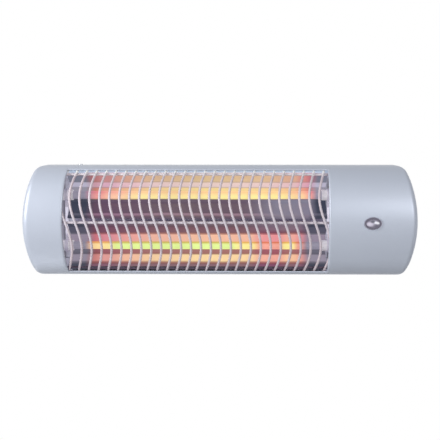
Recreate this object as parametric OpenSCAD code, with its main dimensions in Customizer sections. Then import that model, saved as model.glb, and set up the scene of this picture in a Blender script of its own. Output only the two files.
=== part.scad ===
// Wall-mounted bar heater: two quartz tubes behind an S-wire guard, on a tilting bracket.
// +X runs to the right along the heater, the front looks along -Y and +Z is up.
// The origin is the middle of the wall bracket's back face, so the wall is the plane y = 0.

/* [Housing] */
// Length of the housing, end to end
housing_len = 500; // [460:5:620]
// Height of the housing
housing_h = 142; // [138:1:160]
// Depth of the front casing, from its rear edge to its crown
casing_depth = 78; // [74:1:90]
// Thickness of the casing's sheet
casing_t = 1.8; // [1.2:0.1:2.4]
// Radius of the casing's front crown
crown_r = 110; // [95:1:140]
// Radius from the crown to the top and bottom faces
shoulder_r = 42; // [36:1:46]
// Radius of the bowed ends, seen from the front
end_bow_r = 190; // [150:5:400]
// Radius of the four corners, seen from the front
end_corner_r = 17; // [12:1:24]
// Radius where the ends turn into the front, seen from above
end_edge_r = 13; // [8:1:20]

/* [Window and guard] */
// Casing left of the window, along the middle
left_margin = 51.1; // [50:0.1:100]
// Plain control end, right of the window
right_margin = 111.8; // [108:0.1:140]
// Strip of casing above and below the window
window_edge = 7.6; // [7:0.1:14]
// How far the window's left edge bows out
window_bow = 3.5; // [1:0.1:6]
// Number of guard wires
wire_count = 27; // [15:1:31]
// Diameter of a guard wire
wire_d = 2.8; // [2:0.1:3.2]
// Sideways swing of each wire's S
wire_swing = 7.5; // [0:0.1:9]
// Height over which a wire reaches its full swing
wire_swing_h = 32.4; // [30:0.1:45]
// Diameter of the top and bottom guard rails
rail_d = 3; // [2.4:0.1:4]
// How far the guard rails lie inside the window's top and bottom edges
rail_edge = 3.4; // [2.4:0.1:8]
// Diameter of the guard's centre bar
centre_bar_d = 3.4; // [2.6:0.1:4]

/* [Tubes and reflectors] */
// Strip left open between the two reflectors
centre_strip = 5.6; // [3:0.2:10]
// Depth of the tubes in front of the casing's rear edge
tube_depth = 33; // [29:0.5:35]
// Outside diameter of a quartz tube
tube_d = 10; // [9:0.1:11]
// Wall of a quartz tube
tube_t = 1; // [0.8:0.1:1.2]
// Diameter of a ceramic end cap
cap_d = 14; // [13:0.5:15]
// Length of a ceramic end cap
cap_len = 20; // [18:0.5:22]
// Curls in each heating coil
coil_curls = 42; // [20:1:44]
// Diameter of the coil, to the middle of its wire
coil_d = 5.6; // [4.6:0.1:6]
// Diameter of the coil's wire
coil_wire_d = 1; // [0.6:0.1:1.2]
// Depth of the bottom of each reflector trough
trough_depth = 14; // [10:0.5:18]
// Depth of the front lips of the troughs
lip_depth = 42; // [36:0.5:44]
// Width of the flat bottom of a trough
trough_flat = 22; // [18:0.5:28]
// Thickness of the reflector sheet
reflector_t = 1; // [0.6:0.1:1.4]

/* [Back and bracket] */
// Distance from the wall to the casing's rear edge
wall_gap = 48; // [46:1:60]
// Distance of the tilt pivot behind the yoke's plate
pivot_back = 8.5; // [7.5:0.5:12]
// Depth of the back pan's tray behind the casing
tray_depth = 12; // [9:0.5:12]
// How far the tray stands inside the housing's outline
tray_inset = 16; // [12:1:24]
// Thickness of the back pan's sheet
pan_t = 1.2; // [0.8:0.1:1.6]
// Width over the wall bracket's ears
bracket_w = 164; // [120:2:220]
// Height of the wall bracket
bracket_h = 44; // [36:1:60]
// Thickness of the wall bracket's steel
bracket_t = 2; // [1.6:0.1:3]
// Distance between the two wall screw holes
wall_hole_gap = 110; // [60:5:120]
// Diameter of the wall screw holes
wall_hole_d = 5.5; // [4.5:0.1:7]
// Diameter of the pivot bolts
pivot_d = 6; // [5:0.5:8]

/* [Controls] */
// Distance of the indicator lens from the heater's right end
lens_from_end = 57; // [45:1:75]
// Length of the lens bezel
bezel_len = 22; // [18:0.5:26]
// Height of the lens bezel
bezel_h = 15.8; // [12:0.2:18]
// Distance of the pull switch from the heater's right end
switch_from_end = 68.5; // [60:0.5:70]
// Depth of the pull switch's slider
switch_depth = 14; // [13:0.5:17]
// Travel of the pull switch
pull_travel = 8; // [5:0.5:9]
// Diameter of the switch's slider
slider_d = 4; // [3:0.2:5]
// Diameter of the bore for the supply cable
cable_bore_d = 7.2; // [6:0.1:9]

/* [Hidden] */
$fn = 64;

// Clearances
seat = 0.3;            // between a piece and the shell that it stands in
running = 0.05;        // around a shaft that turns or slides in its bore
weld = 0.1;            // how far welded guard rods sink into each other
past = 1;              // how far a cut runs past the face that it opens

half_len = housing_len / 2;
half_h = housing_h / 2;
window_left = left_margin - half_len;
window_right = half_len - right_margin;
window_h = housing_h - 2 * window_edge;
lens_x = half_len - lens_from_end;
switch_x = half_len - switch_from_end;

// ---------------------------------------------------------------- frames and profiles

// y of a place that lies "depth" in front of the casing's rear edge
function y_of(depth) = -(wall_gap + depth);

// Middle of the corner arc of a bowed outline: [along, across]
function corner_middle(reach, half, bow, corner) =
    [reach - bow + sqrt(pow(bow - corner, 2) - pow(half - corner, 2)), half - corner];

// Outline that runs from u = base to a bowed end at u = reach, "half" wide each side of v = 0
module bowed_outline(base, reach, half, bow, corner) {
    c = corner_middle(reach, half, bow, corner);
    bow_u = reach - bow;
    wide = 2 * bow / (c[0] - bow_u);
    intersection() {
        translate([base, -half - 1]) square([reach - base + 1, 2 * half + 2]);
        union() {
            translate([min(base, bow_u), -half]) square([c[0] - min(base, bow_u), 2 * half]);
            for (side = [-1, 1]) translate([c[0], side * c[1]]) circle(r = corner);
            intersection() {
                translate([bow_u, 0]) circle(r = bow, $fn = 180);
                polygon([
                    [bow_u, 0],
                    [bow_u + wide * (c[0] - bow_u), wide * c[1]],
                    [bow_u + wide * (c[0] - bow_u), -wide * c[1]]
                ]);
            }
        }
    }
}

// Depth of the casing's crown curve at a height z, "inset" inside its outer face
function skin_depth(z, inset) =
    let (c = corner_middle(casing_depth, half_h, crown_r, shoulder_r))
    let (turn_z = c[1] * (crown_r - inset) / (crown_r - shoulder_r))
    abs(z) < turn_z
        ? casing_depth - crown_r + sqrt(pow(crown_r - inset, 2) - z * z)
        : c[0] + sqrt(max(0, pow(shoulder_r - inset, 2) - pow(abs(z) - c[1], 2)));

// Lays a profile drawn as [depth, z] along X, from x_from to x_to
module along_x(x_from, x_to) {
    translate([x_from, -wall_gap, 0]) rotate([90, 0, 90]) linear_extrude(x_to - x_from)
        mirror([1, 0]) children();
}

// Lays a profile drawn as [x, z] along the depth, from one depth to another
module along_depth(from, to) {
    translate([0, y_of(from), 0]) rotate([90, 0, 0]) linear_extrude(to - from) children();
}

// Lays a profile drawn as [x, depth] along Z, from z_from to z_to
module along_z(z_from, z_to) {
    translate([0, -wall_gap, z_from]) linear_extrude(z_to - z_from) mirror([0, 1]) children();
}

// A rod along X through [depth, z]
module rod_x(x_from, x_to, depth, z, r) {
    translate([x_from, y_of(depth), z]) rotate([0, 90, 0]) cylinder(h = x_to - x_from, r = r);
}

// A rod along the depth through [x, z]
module rod_depth(from, to, x, z, r) {
    translate([x, y_of(from), z]) rotate([90, 0, 0]) cylinder(h = to - from, r = r);
}

// Cross-section of the housing, [depth, z]
module d_section(inset, base) {
    bowed_outline(base, casing_depth - inset, half_h - inset, crown_r - inset, shoulder_r - inset);
}

// Outline of the housing seen from the front, [x, z]; "grow" keeps it off the flat faces
module front_outline(inset, grow = 0) {
    for (side = [0, 1]) mirror([side, 0])
        bowed_outline(0, half_len - inset, half_h - inset + grow, end_bow_r - inset,
                      max(end_corner_r - inset, 5));
}

// Outline of the housing seen from above, [x, depth], a little proud of the crown and the ends
module plan_outline(inset) {
    proud = 0.6;
    r = end_edge_r - inset;
    x = half_len + proud - end_edge_r;
    front = casing_depth + proud - end_edge_r;
    translate([-x - r, -past]) square([2 * (x + r), front + past]);
    translate([-x, -past]) square([2 * x, front + r + past]);
    for (side = [-1, 1]) translate([side * x, front]) circle(r = r);
}

// The housing's solid form, "inset" inside its outer faces and open-ended below depth 0
module housing_form(inset, base) {
    intersection() {
        along_x(-half_len - past, half_len + past) d_section(inset, base);
        along_depth(base, casing_depth + past) front_outline(inset, 0.4);
        along_z(-half_h - past, half_h + past) plan_outline(inset);
    }
}

// ---------------------------------------------------------------- casing and back pan

boss_r = 4.5;
boss_x = half_len - 34;
boss_z = half_h - casing_t - boss_r + 1;
boss_len = 24;
pilot_r = 1.3;
pilot_len = 18;
top_screw_x = 65 - half_len;
top_screw_depth = 5;
top_screw_hole_r = 1.6;
bush_r = 4.5;
bezel_neck = 1.6;
window_cut_from = 21;     // depth at which the window's cut starts, behind the shoulders

module at_bosses() {
    for (x = [-boss_x, boss_x], z = [-boss_z, boss_z]) translate([x, 0, z]) children();
}

// Oval of the indicator, [x, z], smaller than its bezel by "inset": two long arcs cut off by a circle
module indicator_oval(inset) {
    bow = bezel_len * 0.6;
    intersection() {
        translate([0, bow - bezel_h / 2]) circle(r = bow - inset);
        translate([0, bezel_h / 2 - bow]) circle(r = bow - inset);
        circle(r = bezel_len / 2 - inset);
    }
}

// Window seen from the front, [x, z]: straight on three sides, bowed on the left
module window_outline() {
    half = window_h / 2;
    bow_r = (half * half + window_bow * window_bow) / (2 * window_bow);
    intersection() {
        translate([window_left - past, -half]) square([window_right - window_left + past, window_h]);
        translate([window_left + bow_r, 0]) circle(r = bow_r, $fn = 180);
    }
}

module front_casing() {
    color([0.72, 0.76, 0.84]) difference() {
        union() {
            difference() {
                housing_form(0, 0);
                housing_form(casing_t, -past);
            }
            at_bosses() rod_depth(0, boss_len, 0, 0, boss_r);
        }
        // window
        along_depth(window_cut_from, casing_depth + past) window_outline();
        // indicator
        along_depth(casing_depth / 2, casing_depth + past)
            translate([lens_x, 0]) indicator_oval(bezel_neck - seat);
        // pull bush, in the underside
        translate([switch_x, y_of(switch_depth), -half_h - past])
            cylinder(h = casing_t + 2 * past, r = bush_r);
        // screw in the top face
        translate([top_screw_x, y_of(top_screw_depth), half_h - casing_t - past])
            cylinder(h = casing_t + 2 * past, r = top_screw_hole_r);
        // pilot holes for the rear screws
        at_bosses() rod_depth(-past, pilot_len, 0, 0, pilot_r);
    }
}

rim_depth = 8;
flange_t = 1.5;
rim_inset = casing_t + seat;
tray_floor = -tray_depth + pan_t;
tray_half_h = half_h - tray_inset - pan_t;
rear_screw_hole_r = 1.8;
flange_inset = 0.8;       // how far the pan's flange stays inside the casing's outline
gland_x = boss_x;
gland_z = -30;
gland_hole_r = 6.2;
vent_count = 9;
vent_pitch = 9;
vent_w = 3.2;
vent_h = 22;
vent_x = 148;
vent_z = 18;

module vent_row(x) {
    for (i = [0 : vent_count - 1])
        translate([x + (i - (vent_count - 1) / 2) * vent_pitch - vent_w / 2, y_of(tray_floor + past), 0])
            cube([vent_w, pan_t + 2 * past, vent_h]);
}

module back_pan() {
    color([0.62, 0.64, 0.68]) difference() {
        union() {
            // rim inside the casing, flange against its rear edge, and the tray behind
            along_depth(-flange_t, rim_depth) front_outline(rim_inset);
            along_depth(-flange_t, -running) front_outline(flange_inset);
            along_depth(-tray_depth, seat - flange_t) front_outline(tray_inset);
        }
        along_depth(-flange_t + pan_t, rim_depth + past) front_outline(rim_inset + pan_t);
        along_depth(tray_floor, rim_depth) front_outline(tray_inset + pan_t);
        // room for the casing's bosses, and the holes for their screws
        at_bosses() rod_depth(0.2 - flange_t + pan_t, rim_depth + past, 0, 0, boss_r + seat);
        at_bosses() rod_depth(-flange_t - past, rim_depth, 0, 0, rear_screw_hole_r);
        // screw in the top face
        translate([top_screw_x, y_of(top_screw_depth), half_h - rim_inset - pan_t - past])
            cylinder(h = pan_t + 2 * past, r = top_screw_hole_r);
        // air slots behind both tubes, outside the yoke
        for (side = [-1, 1], z = [vent_z, -vent_z - vent_h]) translate([0, 0, z]) vent_row(side * vent_x);
        // cable gland
        rod_depth(-tray_depth - past, tray_floor + past, gland_x, gland_z, gland_hole_r);
        // yoke rivets
        at_rivets() rod_depth(-tray_depth - past, tray_floor + past, 0, 0, rivet_r);
    }
}

// ---------------------------------------------------------------- guard

wire_inset = casing_t + seat + wire_d / 2;
rail_inset = wire_inset + wire_d / 2 + rail_d / 2 - weld;
bar_inset = wire_inset + wire_d / 2 + centre_bar_d / 2 - weld;
first_wire_in = 3.55;     // from the window's left edge to the first wire
last_wire_in = 4.6;       // from the last wire to the window's right edge
wire_past_rail = 5.5;     // how far the wires run past the rails
wire_first = window_left + first_wire_in;
wire_last = window_right - last_wire_in;
wire_pitch = (wire_last - wire_first) / (wire_count - 1);
rail_z = window_h / 2 - rail_edge;
wire_top = rail_z + wire_past_rail;
wire_rings = 17;
wire_sides = 6;

// A place on a guard wire at height z: an S seen from the front, the crown's curve seen from the end
function wire_place(z) = [-wire_swing * sin(90 * z / wire_swing_h), y_of(skin_depth(z, wire_inset)), z];

function unit(v) = v / norm(v);

// Rings of points around a path; the ring lies square to the path
function sweep_rings(path, r, sides, up) = [
    for (i = [0 : len(path) - 1])
        let (ahead = unit(path[min(i + 1, len(path) - 1)] - path[max(i - 1, 0)]))
        let (across = unit(cross(ahead, up)), third = cross(across, ahead))
        for (k = [0 : sides - 1])
            path[i] + r * (cos(360 * k / sides) * across + sin(360 * k / sides) * third)
];

// One closed tube along a path, drawn in triangles
module sweep(path, r, sides, up) {
    n = len(path);
    walls = [
        for (i = [0 : n - 2], k = [0 : sides - 1])
            let (a = i * sides + k, b = i * sides + (k + 1) % sides)
            each [[a, b, b + sides], [a, b + sides, a + sides]]
    ];
    start_cap = [for (k = [1 : sides - 2]) [0, k + 1, k]];
    end_cap = [for (k = [1 : sides - 2]) [(n - 1) * sides, (n - 1) * sides + k, (n - 1) * sides + k + 1]];
    polyhedron(sweep_rings(path, r, sides, up), concat(walls, start_cap, end_cap));
}

// The rings lie closer together towards the ends, where the shoulders turn tightest
wire_path = [for (i = [0 : wire_rings - 1]) wire_place(wire_top * sin(180 * i / (wire_rings - 1) - 90))];

module guard_wires() {
    color([0.83, 0.84, 0.88]) for (i = [0 : wire_count - 1])
        translate([wire_first + i * wire_pitch, 0, 0]) sweep(wire_path, wire_d / 2, wire_sides, [1, 0, 0]);
}

bulkhead_t = 1;
bulkhead_left_gap = 5;    // from the first wire's swing to the left bulkhead
bulkhead_right_gap = 0.8; // from the last wire's swing to the right bulkhead
bulkhead_left_x = wire_first - wire_swing - wire_d / 2 - bulkhead_left_gap;
bulkhead_right_x = wire_last + wire_swing + wire_d / 2 + bulkhead_right_gap;
rod_stub = 3;             // how far the rods run past the bulkheads

module guard_rails() {
    color([0.80, 0.81, 0.85]) for (side = [-1, 1])
        rod_x(bulkhead_left_x - rod_stub, bulkhead_right_x + bulkhead_t + rod_stub,
              skin_depth(rail_z, rail_inset), side * rail_z, rail_d / 2);
}

module guard_centre_bar() {
    color([0.83, 0.84, 0.88])
        rod_x(bulkhead_left_x - rod_stub, bulkhead_right_x + bulkhead_t + rod_stub,
              casing_depth - bar_inset, 0, centre_bar_d / 2);
}

// ---------------------------------------------------------------- bulkheads and reflectors

foot_w = 9;
foot_short = 8;           // how much shorter than the tray the foot is at each end
tab_short = 2;            // the same for the plate where it enters the tray
tab_lap = 1;              // how far that plate runs up into the casing's part
cap_clear = 0.5;
rod_clear = 0.1;
lead_hole_r = 5;
lead_hole_back = 18;      // distance of the leads' hole behind the tubes

// Sheet across the casing that closes the tube chamber, with a foot on the pan's floor
module bulkhead(x, toward) {
    color([0.66, 0.67, 0.70]) difference() {
        union() {
            along_x(x, x + bulkhead_t) d_section(casing_t + 2 * seat, rim_depth + seat);
            along_x(x, x + bulkhead_t) translate([tray_floor, tab_short - tray_half_h])
                square([rim_depth + tab_lap - tray_floor, 2 * (tray_half_h - tab_short)]);
            translate([toward > 0 ? x : x + bulkhead_t - foot_w,
                       y_of(tray_floor + bulkhead_t), foot_short - tray_half_h])
                cube([foot_w, bulkhead_t, 2 * (tray_half_h - foot_short)]);
        }
        for (side = [-1, 1]) {
            rod_x(x - past, x + bulkhead_t + past, tube_depth, side * tube_z, cap_d / 2 + cap_clear);
            rod_x(x - past, x + bulkhead_t + past, skin_depth(rail_z, rail_inset), side * rail_z,
                  rail_d / 2 + rod_clear);
        }
        rod_x(x - past, x + bulkhead_t + past, casing_depth - bar_inset, 0, centre_bar_d / 2 + rod_clear);
        // way for the leads
        rod_x(x - past, x + bulkhead_t + past, tube_depth - lead_hole_back, 0, lead_hole_r);
    }
}

module bulkhead_left() {
    bulkhead(bulkhead_left_x, -1);
}

module bulkhead_right() {
    bulkhead(bulkhead_right_x, 1);
}

holder_t = 3.6;
holder_left_in = 8;       // from the left bulkhead to its tube holder
holder_right_in = 0.8;    // from the right tube holder to its bulkhead
holder_left_x = bulkhead_left_x + holder_left_in;
holder_right_x = bulkhead_right_x - holder_t - holder_right_in;
trough_lap = 0.4;         // how far the troughs stay inside the window's height
trough_outer = window_h / 2 - trough_lap;
trough_half = (trough_outer - centre_strip / 2) / 2;
tube_z = centre_strip / 2 + trough_half;
lip_w = 2.2;
trough_end_gap = 0.2;
lip_clear = 0.3;          // least room between a trough's lips and the guard
// The lips stay behind the rails and the wires when the casing gets flatter or taller
lip_front = min(
    lip_depth, skin_depth(trough_outer, wire_inset + wire_d / 2) - lip_clear,
    skin_depth(rail_z, rail_inset) - rail_d / 2 - lip_clear
);

// The same points on the other side of the tube's height, in the opposite order
function mirrored(points) = [for (i = [len(points) - 1 : -1 : 0]) [points[i][0], -points[i][1]]];

// Bent sheet, [depth, z] about the tube's height: flat bottom, two slanting sides and front lips
module trough_section() {
    rise = lip_front - trough_depth;
    slope = trough_half - lip_w - trough_flat / 2;
    fold = (norm([rise, slope]) - slope) / rise * reflector_t;
    front = [
        [lip_front, trough_half], [lip_front, trough_half - lip_w], [trough_depth, trough_flat / 2]
    ];
    back = [
        [trough_depth - reflector_t, trough_flat / 2 + fold],
        [lip_front - reflector_t, trough_half - lip_w + fold],
        [lip_front - reflector_t, trough_half]
    ];
    polygon(concat(front, mirrored(front), mirrored(back), back));
}

module reflector(side) {
    color([0.90, 0.86, 0.80])
        along_x(holder_left_x + holder_t + trough_end_gap, holder_right_x - trough_end_gap)
            translate([0, side * tube_z]) trough_section();
}

module reflector_upper() {
    reflector(1);
}

module reflector_lower() {
    reflector(-1);
}

// ---------------------------------------------------------------- tubes, coils and their holders

collar_r = cap_d / 2 + 1.6;
post_w = 8;
holder_bar = 3.4;
holder_bar_back = 2;      // from the tubes' middle line back to the bar's rear face
cap_overlap = 8;
cap_left_out = 1.5;       // how far a cap stands out behind its bulkhead
cap_right_out = 7.5;
cap_left_x = bulkhead_left_x - cap_left_out;
cap_right_x = bulkhead_right_x + bulkhead_t + cap_right_out - cap_len;
tube_left_x = cap_left_x + cap_len - cap_overlap;
tube_right_x = cap_right_x + cap_overlap;
tube_end_gap = 0.2;

// Bracket that stands on the pan and carries both tubes by their caps
module tube_holder(x) {
    color([0.85, 0.86, 0.90]) difference() {
        along_x(x, x + holder_t) {
            for (side = [-1, 1]) {
                translate([tube_depth, side * tube_z]) circle(r = collar_r);
                translate([tray_floor, side * tube_z - post_w / 2])
                    square([tube_depth - tray_floor, post_w]);
            }
            translate([tube_depth - holder_bar_back, -tube_z]) square([holder_bar, 2 * tube_z]);
        }
        for (side = [-1, 1])
            rod_x(x - past, x + holder_t + past, tube_depth, side * tube_z, cap_d / 2 + running);
    }
}

module tube_holder_left() {
    tube_holder(holder_left_x);
}

module tube_holder_right() {
    tube_holder(holder_right_x);
}

module quartz_tube(side) {
    color([0.95, 0.55, 0.35, 0.5]) difference() {
        rod_x(tube_left_x + tube_end_gap, tube_right_x - tube_end_gap, tube_depth, side * tube_z,
              tube_d / 2);
        rod_x(tube_left_x - past, tube_right_x + past, tube_depth, side * tube_z, tube_d / 2 - tube_t);
    }
}

module quartz_tube_upper() {
    quartz_tube(1);
}

module quartz_tube_lower() {
    quartz_tube(-1);
}

coil_rings = 8;
coil_lead = 25;
coil_ease = 2.5;          // from the straight lead's end to the first curl
coil_from = tube_left_x + coil_lead;
coil_to = tube_right_x - coil_lead;

// Middle line of a coil: a straight lead, the curls, and a straight lead at the other end
coil_path = concat(
    [[tube_left_x, 0, coil_d / 2], [coil_from - coil_ease, 0, coil_d / 2]],
    [for (i = [0 : coil_curls * coil_rings])
        let (turn = 360 * i / coil_rings)
        [coil_from + (coil_to - coil_from) * i / (coil_curls * coil_rings),
         coil_d / 2 * sin(turn), coil_d / 2 * cos(turn)]],
    [[coil_to + coil_ease, 0, coil_d / 2], [tube_right_x, 0, coil_d / 2]]
);

// Least clear gap between neighbouring curls, measured on points one curl apart
coil_gap = min([for (i = [2 : len(coil_path) - 3 - coil_rings], k = [coil_rings - 2 : coil_rings])
    norm(coil_path[i + k] - coil_path[i])]) - coil_wire_d;
echo(coil_gap = coil_gap);

module heating_coil(side) {
    color([1, 0.62, 0.2]) translate([0, y_of(tube_depth), side * tube_z])
        sweep(coil_path, coil_wire_d / 2, 6, [0.31, 0.8, 0.52]);
}

module heating_coil_upper() {
    heating_coil(1);
}

module heating_coil_lower() {
    heating_coil(-1);
}

module ceramic_cap(x, side, mouth) {
    difference() {
        rod_x(x, x + cap_len, tube_depth, side * tube_z, cap_d / 2);
        rod_x(mouth > 0 ? x + cap_len - cap_overlap : x - past,
              mouth > 0 ? x + cap_len + past : x + cap_overlap,
              tube_depth, side * tube_z, tube_d / 2 + running);
    }
}

module ceramic_caps() {
    color([0.93, 0.91, 0.86]) for (side = [-1, 1]) {
        ceramic_cap(cap_left_x, side, 1);
        ceramic_cap(cap_right_x, side, -1);
    }
}

pin_len = 8;
pin_r = 1.6;

module terminal_pins() {
    color([0.78, 0.76, 0.70]) for (side = [-1, 1]) {
        rod_x(cap_left_x - pin_len, cap_left_x, tube_depth, side * tube_z, pin_r);
        rod_x(cap_right_x + cap_len, cap_right_x + cap_len + pin_len, tube_depth, side * tube_z, pin_r);
    }
}

// ---------------------------------------------------------------- indicator

bezel_face = casing_depth + running;
bezel_t = 1.6;
bezel_sleeve = 6;         // how far the bezel's sleeve reaches back
bezel_wall = 1;
lens_back = 4;            // how far the lens reaches back into the sleeve
lens_proud = 1.6;         // how far the dome stands in front of the bezel
holder_r = 4.2;
holder_len = 18;
lamp_r = 2.6;
lamp_len = 14;

module indicator_bezel() {
    color([0.25, 0.25, 0.27]) difference() {
        union() {
            along_depth(bezel_face, bezel_face + bezel_t) translate([lens_x, 0]) indicator_oval(0);
            along_depth(bezel_face - bezel_sleeve, bezel_face + 0.2) translate([lens_x, 0])
                indicator_oval(bezel_neck);
        }
        along_depth(bezel_face - bezel_sleeve - past, bezel_face + bezel_t + past) translate([lens_x, 0])
            indicator_oval(bezel_neck + bezel_wall);
    }
}

// Domed lens seated inside the bezel, crowned both ways
module indicator_lens() {
    crown_up = 12;
    crown_along = 24;
    dome_top = bezel_face + bezel_t + lens_proud;
    color([0.55, 0.50, 0.52, 0.8]) intersection() {
        along_depth(bezel_face - lens_back, dome_top + past) translate([lens_x, 0])
            indicator_oval(bezel_neck + bezel_wall + running);
        rod_x(lens_x - bezel_len, lens_x + bezel_len, dome_top - crown_up, 0, crown_up);
        translate([lens_x, y_of(dome_top + 0.2 - crown_along), -bezel_h])
            cylinder(h = 2 * bezel_h, r = crown_along);
    }
}

// Depth of the lamp's rear end; its holder's mouth stands just behind the lens
lamp_back = bezel_face - lens_back - 0.2 - holder_len + 2;

module lamp_holder() {
    color([0.93, 0.93, 0.90]) difference() {
        rod_depth(lamp_back - 2, lamp_back - 2 + holder_len, lens_x, 0, holder_r);
        rod_depth(lamp_back, lamp_back + holder_len, lens_x, 0, lamp_r + running);
    }
}

module neon_lamp() {
    color([0.98, 0.55, 0.35]) rod_depth(lamp_back, lamp_back + lamp_len, lens_x, 0, lamp_r);
}

// ---------------------------------------------------------------- pull switch

switch_w = 24;
switch_front = 9;         // switch body in front of the slider's middle
switch_ear = 5;
switch_ear_h = 12;
switch_ear_t = 2;
switch_bottom = 11 - half_h;
switch_floor_t = 3;
switch_bore_r = 4.8;
collar_t = 2.4;
spring_pressed = 13.6;
collar_top = switch_bottom + switch_floor_t + spring_pressed + pull_travel + collar_t;
chamber_over = 1.4;       // room over the collar
switch_roof_t = 1.6;
switch_top = collar_top + chamber_over + switch_roof_t;
slider_out = 1;           // how far the slider stands out under the casing
eye_r = 0.9;
eye_up = 1.2;             // the eye's middle above the casing's underside
spring_r = 3.4;
spring_wire = 0.8;
spring_curls = 6;
spring_rings = 8;
bush_flange_r = 6.5;
bush_flange_t = 1.4;
bush_past_t = 1.8;        // how far the bush reaches past the casing's sheet
bush_bore_r = slider_d / 2 + 0.4;

module at_switch() {
    translate([switch_x, y_of(switch_depth), 0]) children();
}

module pull_switch_body() {
    depth_front = switch_depth + switch_front;
    foot_front = 1;
    color([0.90, 0.90, 0.87]) difference() {
        union() {
            translate([switch_x - switch_w / 2, y_of(depth_front), switch_bottom])
                cube([switch_w, depth_front - seat, switch_top - switch_bottom]);
            // foot and mounting ears on the tray's floor
            translate([switch_x - switch_w / 2, y_of(foot_front), seat - tray_half_h])
                cube([switch_w, foot_front - tray_floor, switch_top + tray_half_h - seat]);
            translate([switch_x - switch_w / 2 - switch_ear, y_of(tray_floor + switch_ear_t),
                       switch_top - 1.5 * switch_ear_h])
                cube([switch_w + 2 * switch_ear, switch_ear_t, switch_ear_h]);
        }
        // spring chamber, and the running bore for the slider below it
        at_switch() translate([0, 0, switch_bottom + switch_floor_t])
            cylinder(h = collar_top + chamber_over - switch_bottom - switch_floor_t, r = switch_bore_r);
        at_switch() translate([0, 0, switch_bottom - past])
            cylinder(h = switch_floor_t + 2 * past, r = slider_d / 2 + running);
    }
}

module pull_slider() {
    color([0.82, 0.83, 0.85]) at_switch() difference() {
        union() {
            translate([0, 0, -half_h - slider_out])
                cylinder(h = collar_top - collar_t + half_h + slider_out + 0.2, r = slider_d / 2);
            translate([0, 0, collar_top - collar_t]) cylinder(h = collar_t, r = switch_bore_r - seat);
        }
        // eye for the pull cord
        translate([0, slider_d, eye_up - half_h]) rotate([90, 0, 0]) cylinder(h = 2 * slider_d, r = eye_r);
    }
}

// Spring between the chamber's floor and the slider's collar
spring_from = switch_bottom + switch_floor_t + spring_wire / 2 + running;
spring_to = collar_top - collar_t - spring_wire / 2 - running;
spring_path = [
    for (i = [0 : spring_curls * spring_rings])
        let (turn = 360 * i / spring_rings)
        [spring_r * cos(turn), spring_r * sin(turn),
         spring_from + (spring_to - spring_from) * i / (spring_curls * spring_rings)]
];

// Least clear gap between neighbouring curls of the spring
spring_gap = min([for (i = [0 : len(spring_path) - 1 - spring_rings], k = [spring_rings - 2 : spring_rings])
    norm(spring_path[i + k] - spring_path[i])]) - spring_wire;
echo(spring_gap = spring_gap);

module pull_spring() {
    color([0.7, 0.72, 0.75]) at_switch() sweep(spring_path, spring_wire / 2, 6, [0.05, 0.08, 1]);
}

module pull_bush() {
    color([0.75, 0.77, 0.82]) at_switch() difference() {
        union() {
            translate([0, 0, -half_h - bush_flange_t]) cylinder(h = bush_flange_t, r = bush_flange_r);
            translate([0, 0, -half_h - 0.2])
                cylinder(h = casing_t + bush_past_t + 0.2, r = bush_r - running);
        }
        translate([0, 0, -half_h - bush_flange_t - past])
            cylinder(h = casing_t + bush_past_t + bush_flange_t + 2 * past, r = bush_bore_r);
    }
}

// ---------------------------------------------------------------- wiring pieces

block_x = half_len - 44;
block_z = 22;
block_len = 30;
block_deep = 14;
block_h = 18;
way_pitch = 9.5;
way_r = 2;
way_screw_z = 5;
way_screw_r = 1.6;
way_screw_len = 3.8;

// The six screw places of the terminal block, [x, z]
module at_ways() {
    for (i = [-1, 0, 1], side = [-1, 1])
        translate([block_x + i * way_pitch, 0, block_z + side * way_screw_z]) children();
}

module terminal_block() {
    mid = tray_floor + block_deep / 2;
    color([0.92, 0.90, 0.84]) difference() {
        translate([block_x - block_len / 2, y_of(tray_floor + block_deep), block_z - block_h / 2])
            cube([block_len, block_deep, block_h]);
        for (i = [-1, 0, 1]) translate([block_x + i * way_pitch, y_of(mid), block_z - block_h / 2 - past])
            cylinder(h = block_h + 2 * past, r = way_r);
        at_ways() rod_depth(mid, tray_floor + block_deep + past, 0, 0, way_screw_r);
    }
}

module terminal_screws() {
    top = tray_floor + block_deep - past;
    color([0.80, 0.66, 0.35]) at_ways() rod_depth(top - way_screw_len, top, 0, 0, way_screw_r - running);
}

cutout_r = 8;
cutout_t = 6;
cutout_forward = 6;       // the cutout's middle in front of the tubes' middle line
cutout_plate = [1.2, 4, 24];
cutout_blade = [8, 4, 0.8];
blade_z = 4;

module thermal_cutout() {
    x = bulkhead_right_x + bulkhead_t;
    color([0.75, 0.75, 0.76]) translate([x, y_of(tube_depth + cutout_forward), 0]) {
        rotate([0, 90, 0]) cylinder(h = cutout_t, r = cutout_r);
        translate([0, -cutout_plate[1] / 2, -cutout_plate[2] / 2]) cube(cutout_plate);
        for (side = [-1, 1])
            translate([cutout_t - 0.2, -cutout_blade[1] / 2, side * blade_z - cutout_blade[2] / 2])
                cube(cutout_blade);
    }
}

gland_head_r = 8.5;
gland_head_t = 3;
gland_past = 8;           // how far the gland's thread reaches past the tray's floor
gland_nut_r = 9.5;
gland_nut_t = 4;

module cable_gland() {
    color([0.12, 0.12, 0.13]) difference() {
        union() {
            rod_depth(-tray_depth - gland_head_t, -tray_depth, gland_x, gland_z, gland_head_r);
            rod_depth(-tray_depth - gland_head_t, tray_floor + gland_past, gland_x, gland_z,
                      gland_hole_r - running);
        }
        rod_depth(-tray_depth - gland_head_t - past, tray_floor + gland_past + past, gland_x, gland_z,
                  cable_bore_d / 2);
    }
}

module gland_nut() {
    color([0.12, 0.12, 0.13]) difference() {
        translate([gland_x, y_of(tray_floor), gland_z]) rotate([90, 0, 0])
            cylinder(h = gland_nut_t, r = gland_nut_r, $fn = 6);
        rod_depth(tray_floor - past, tray_floor + gland_nut_t + past, gland_x, gland_z, gland_hole_r);
    }
}

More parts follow.
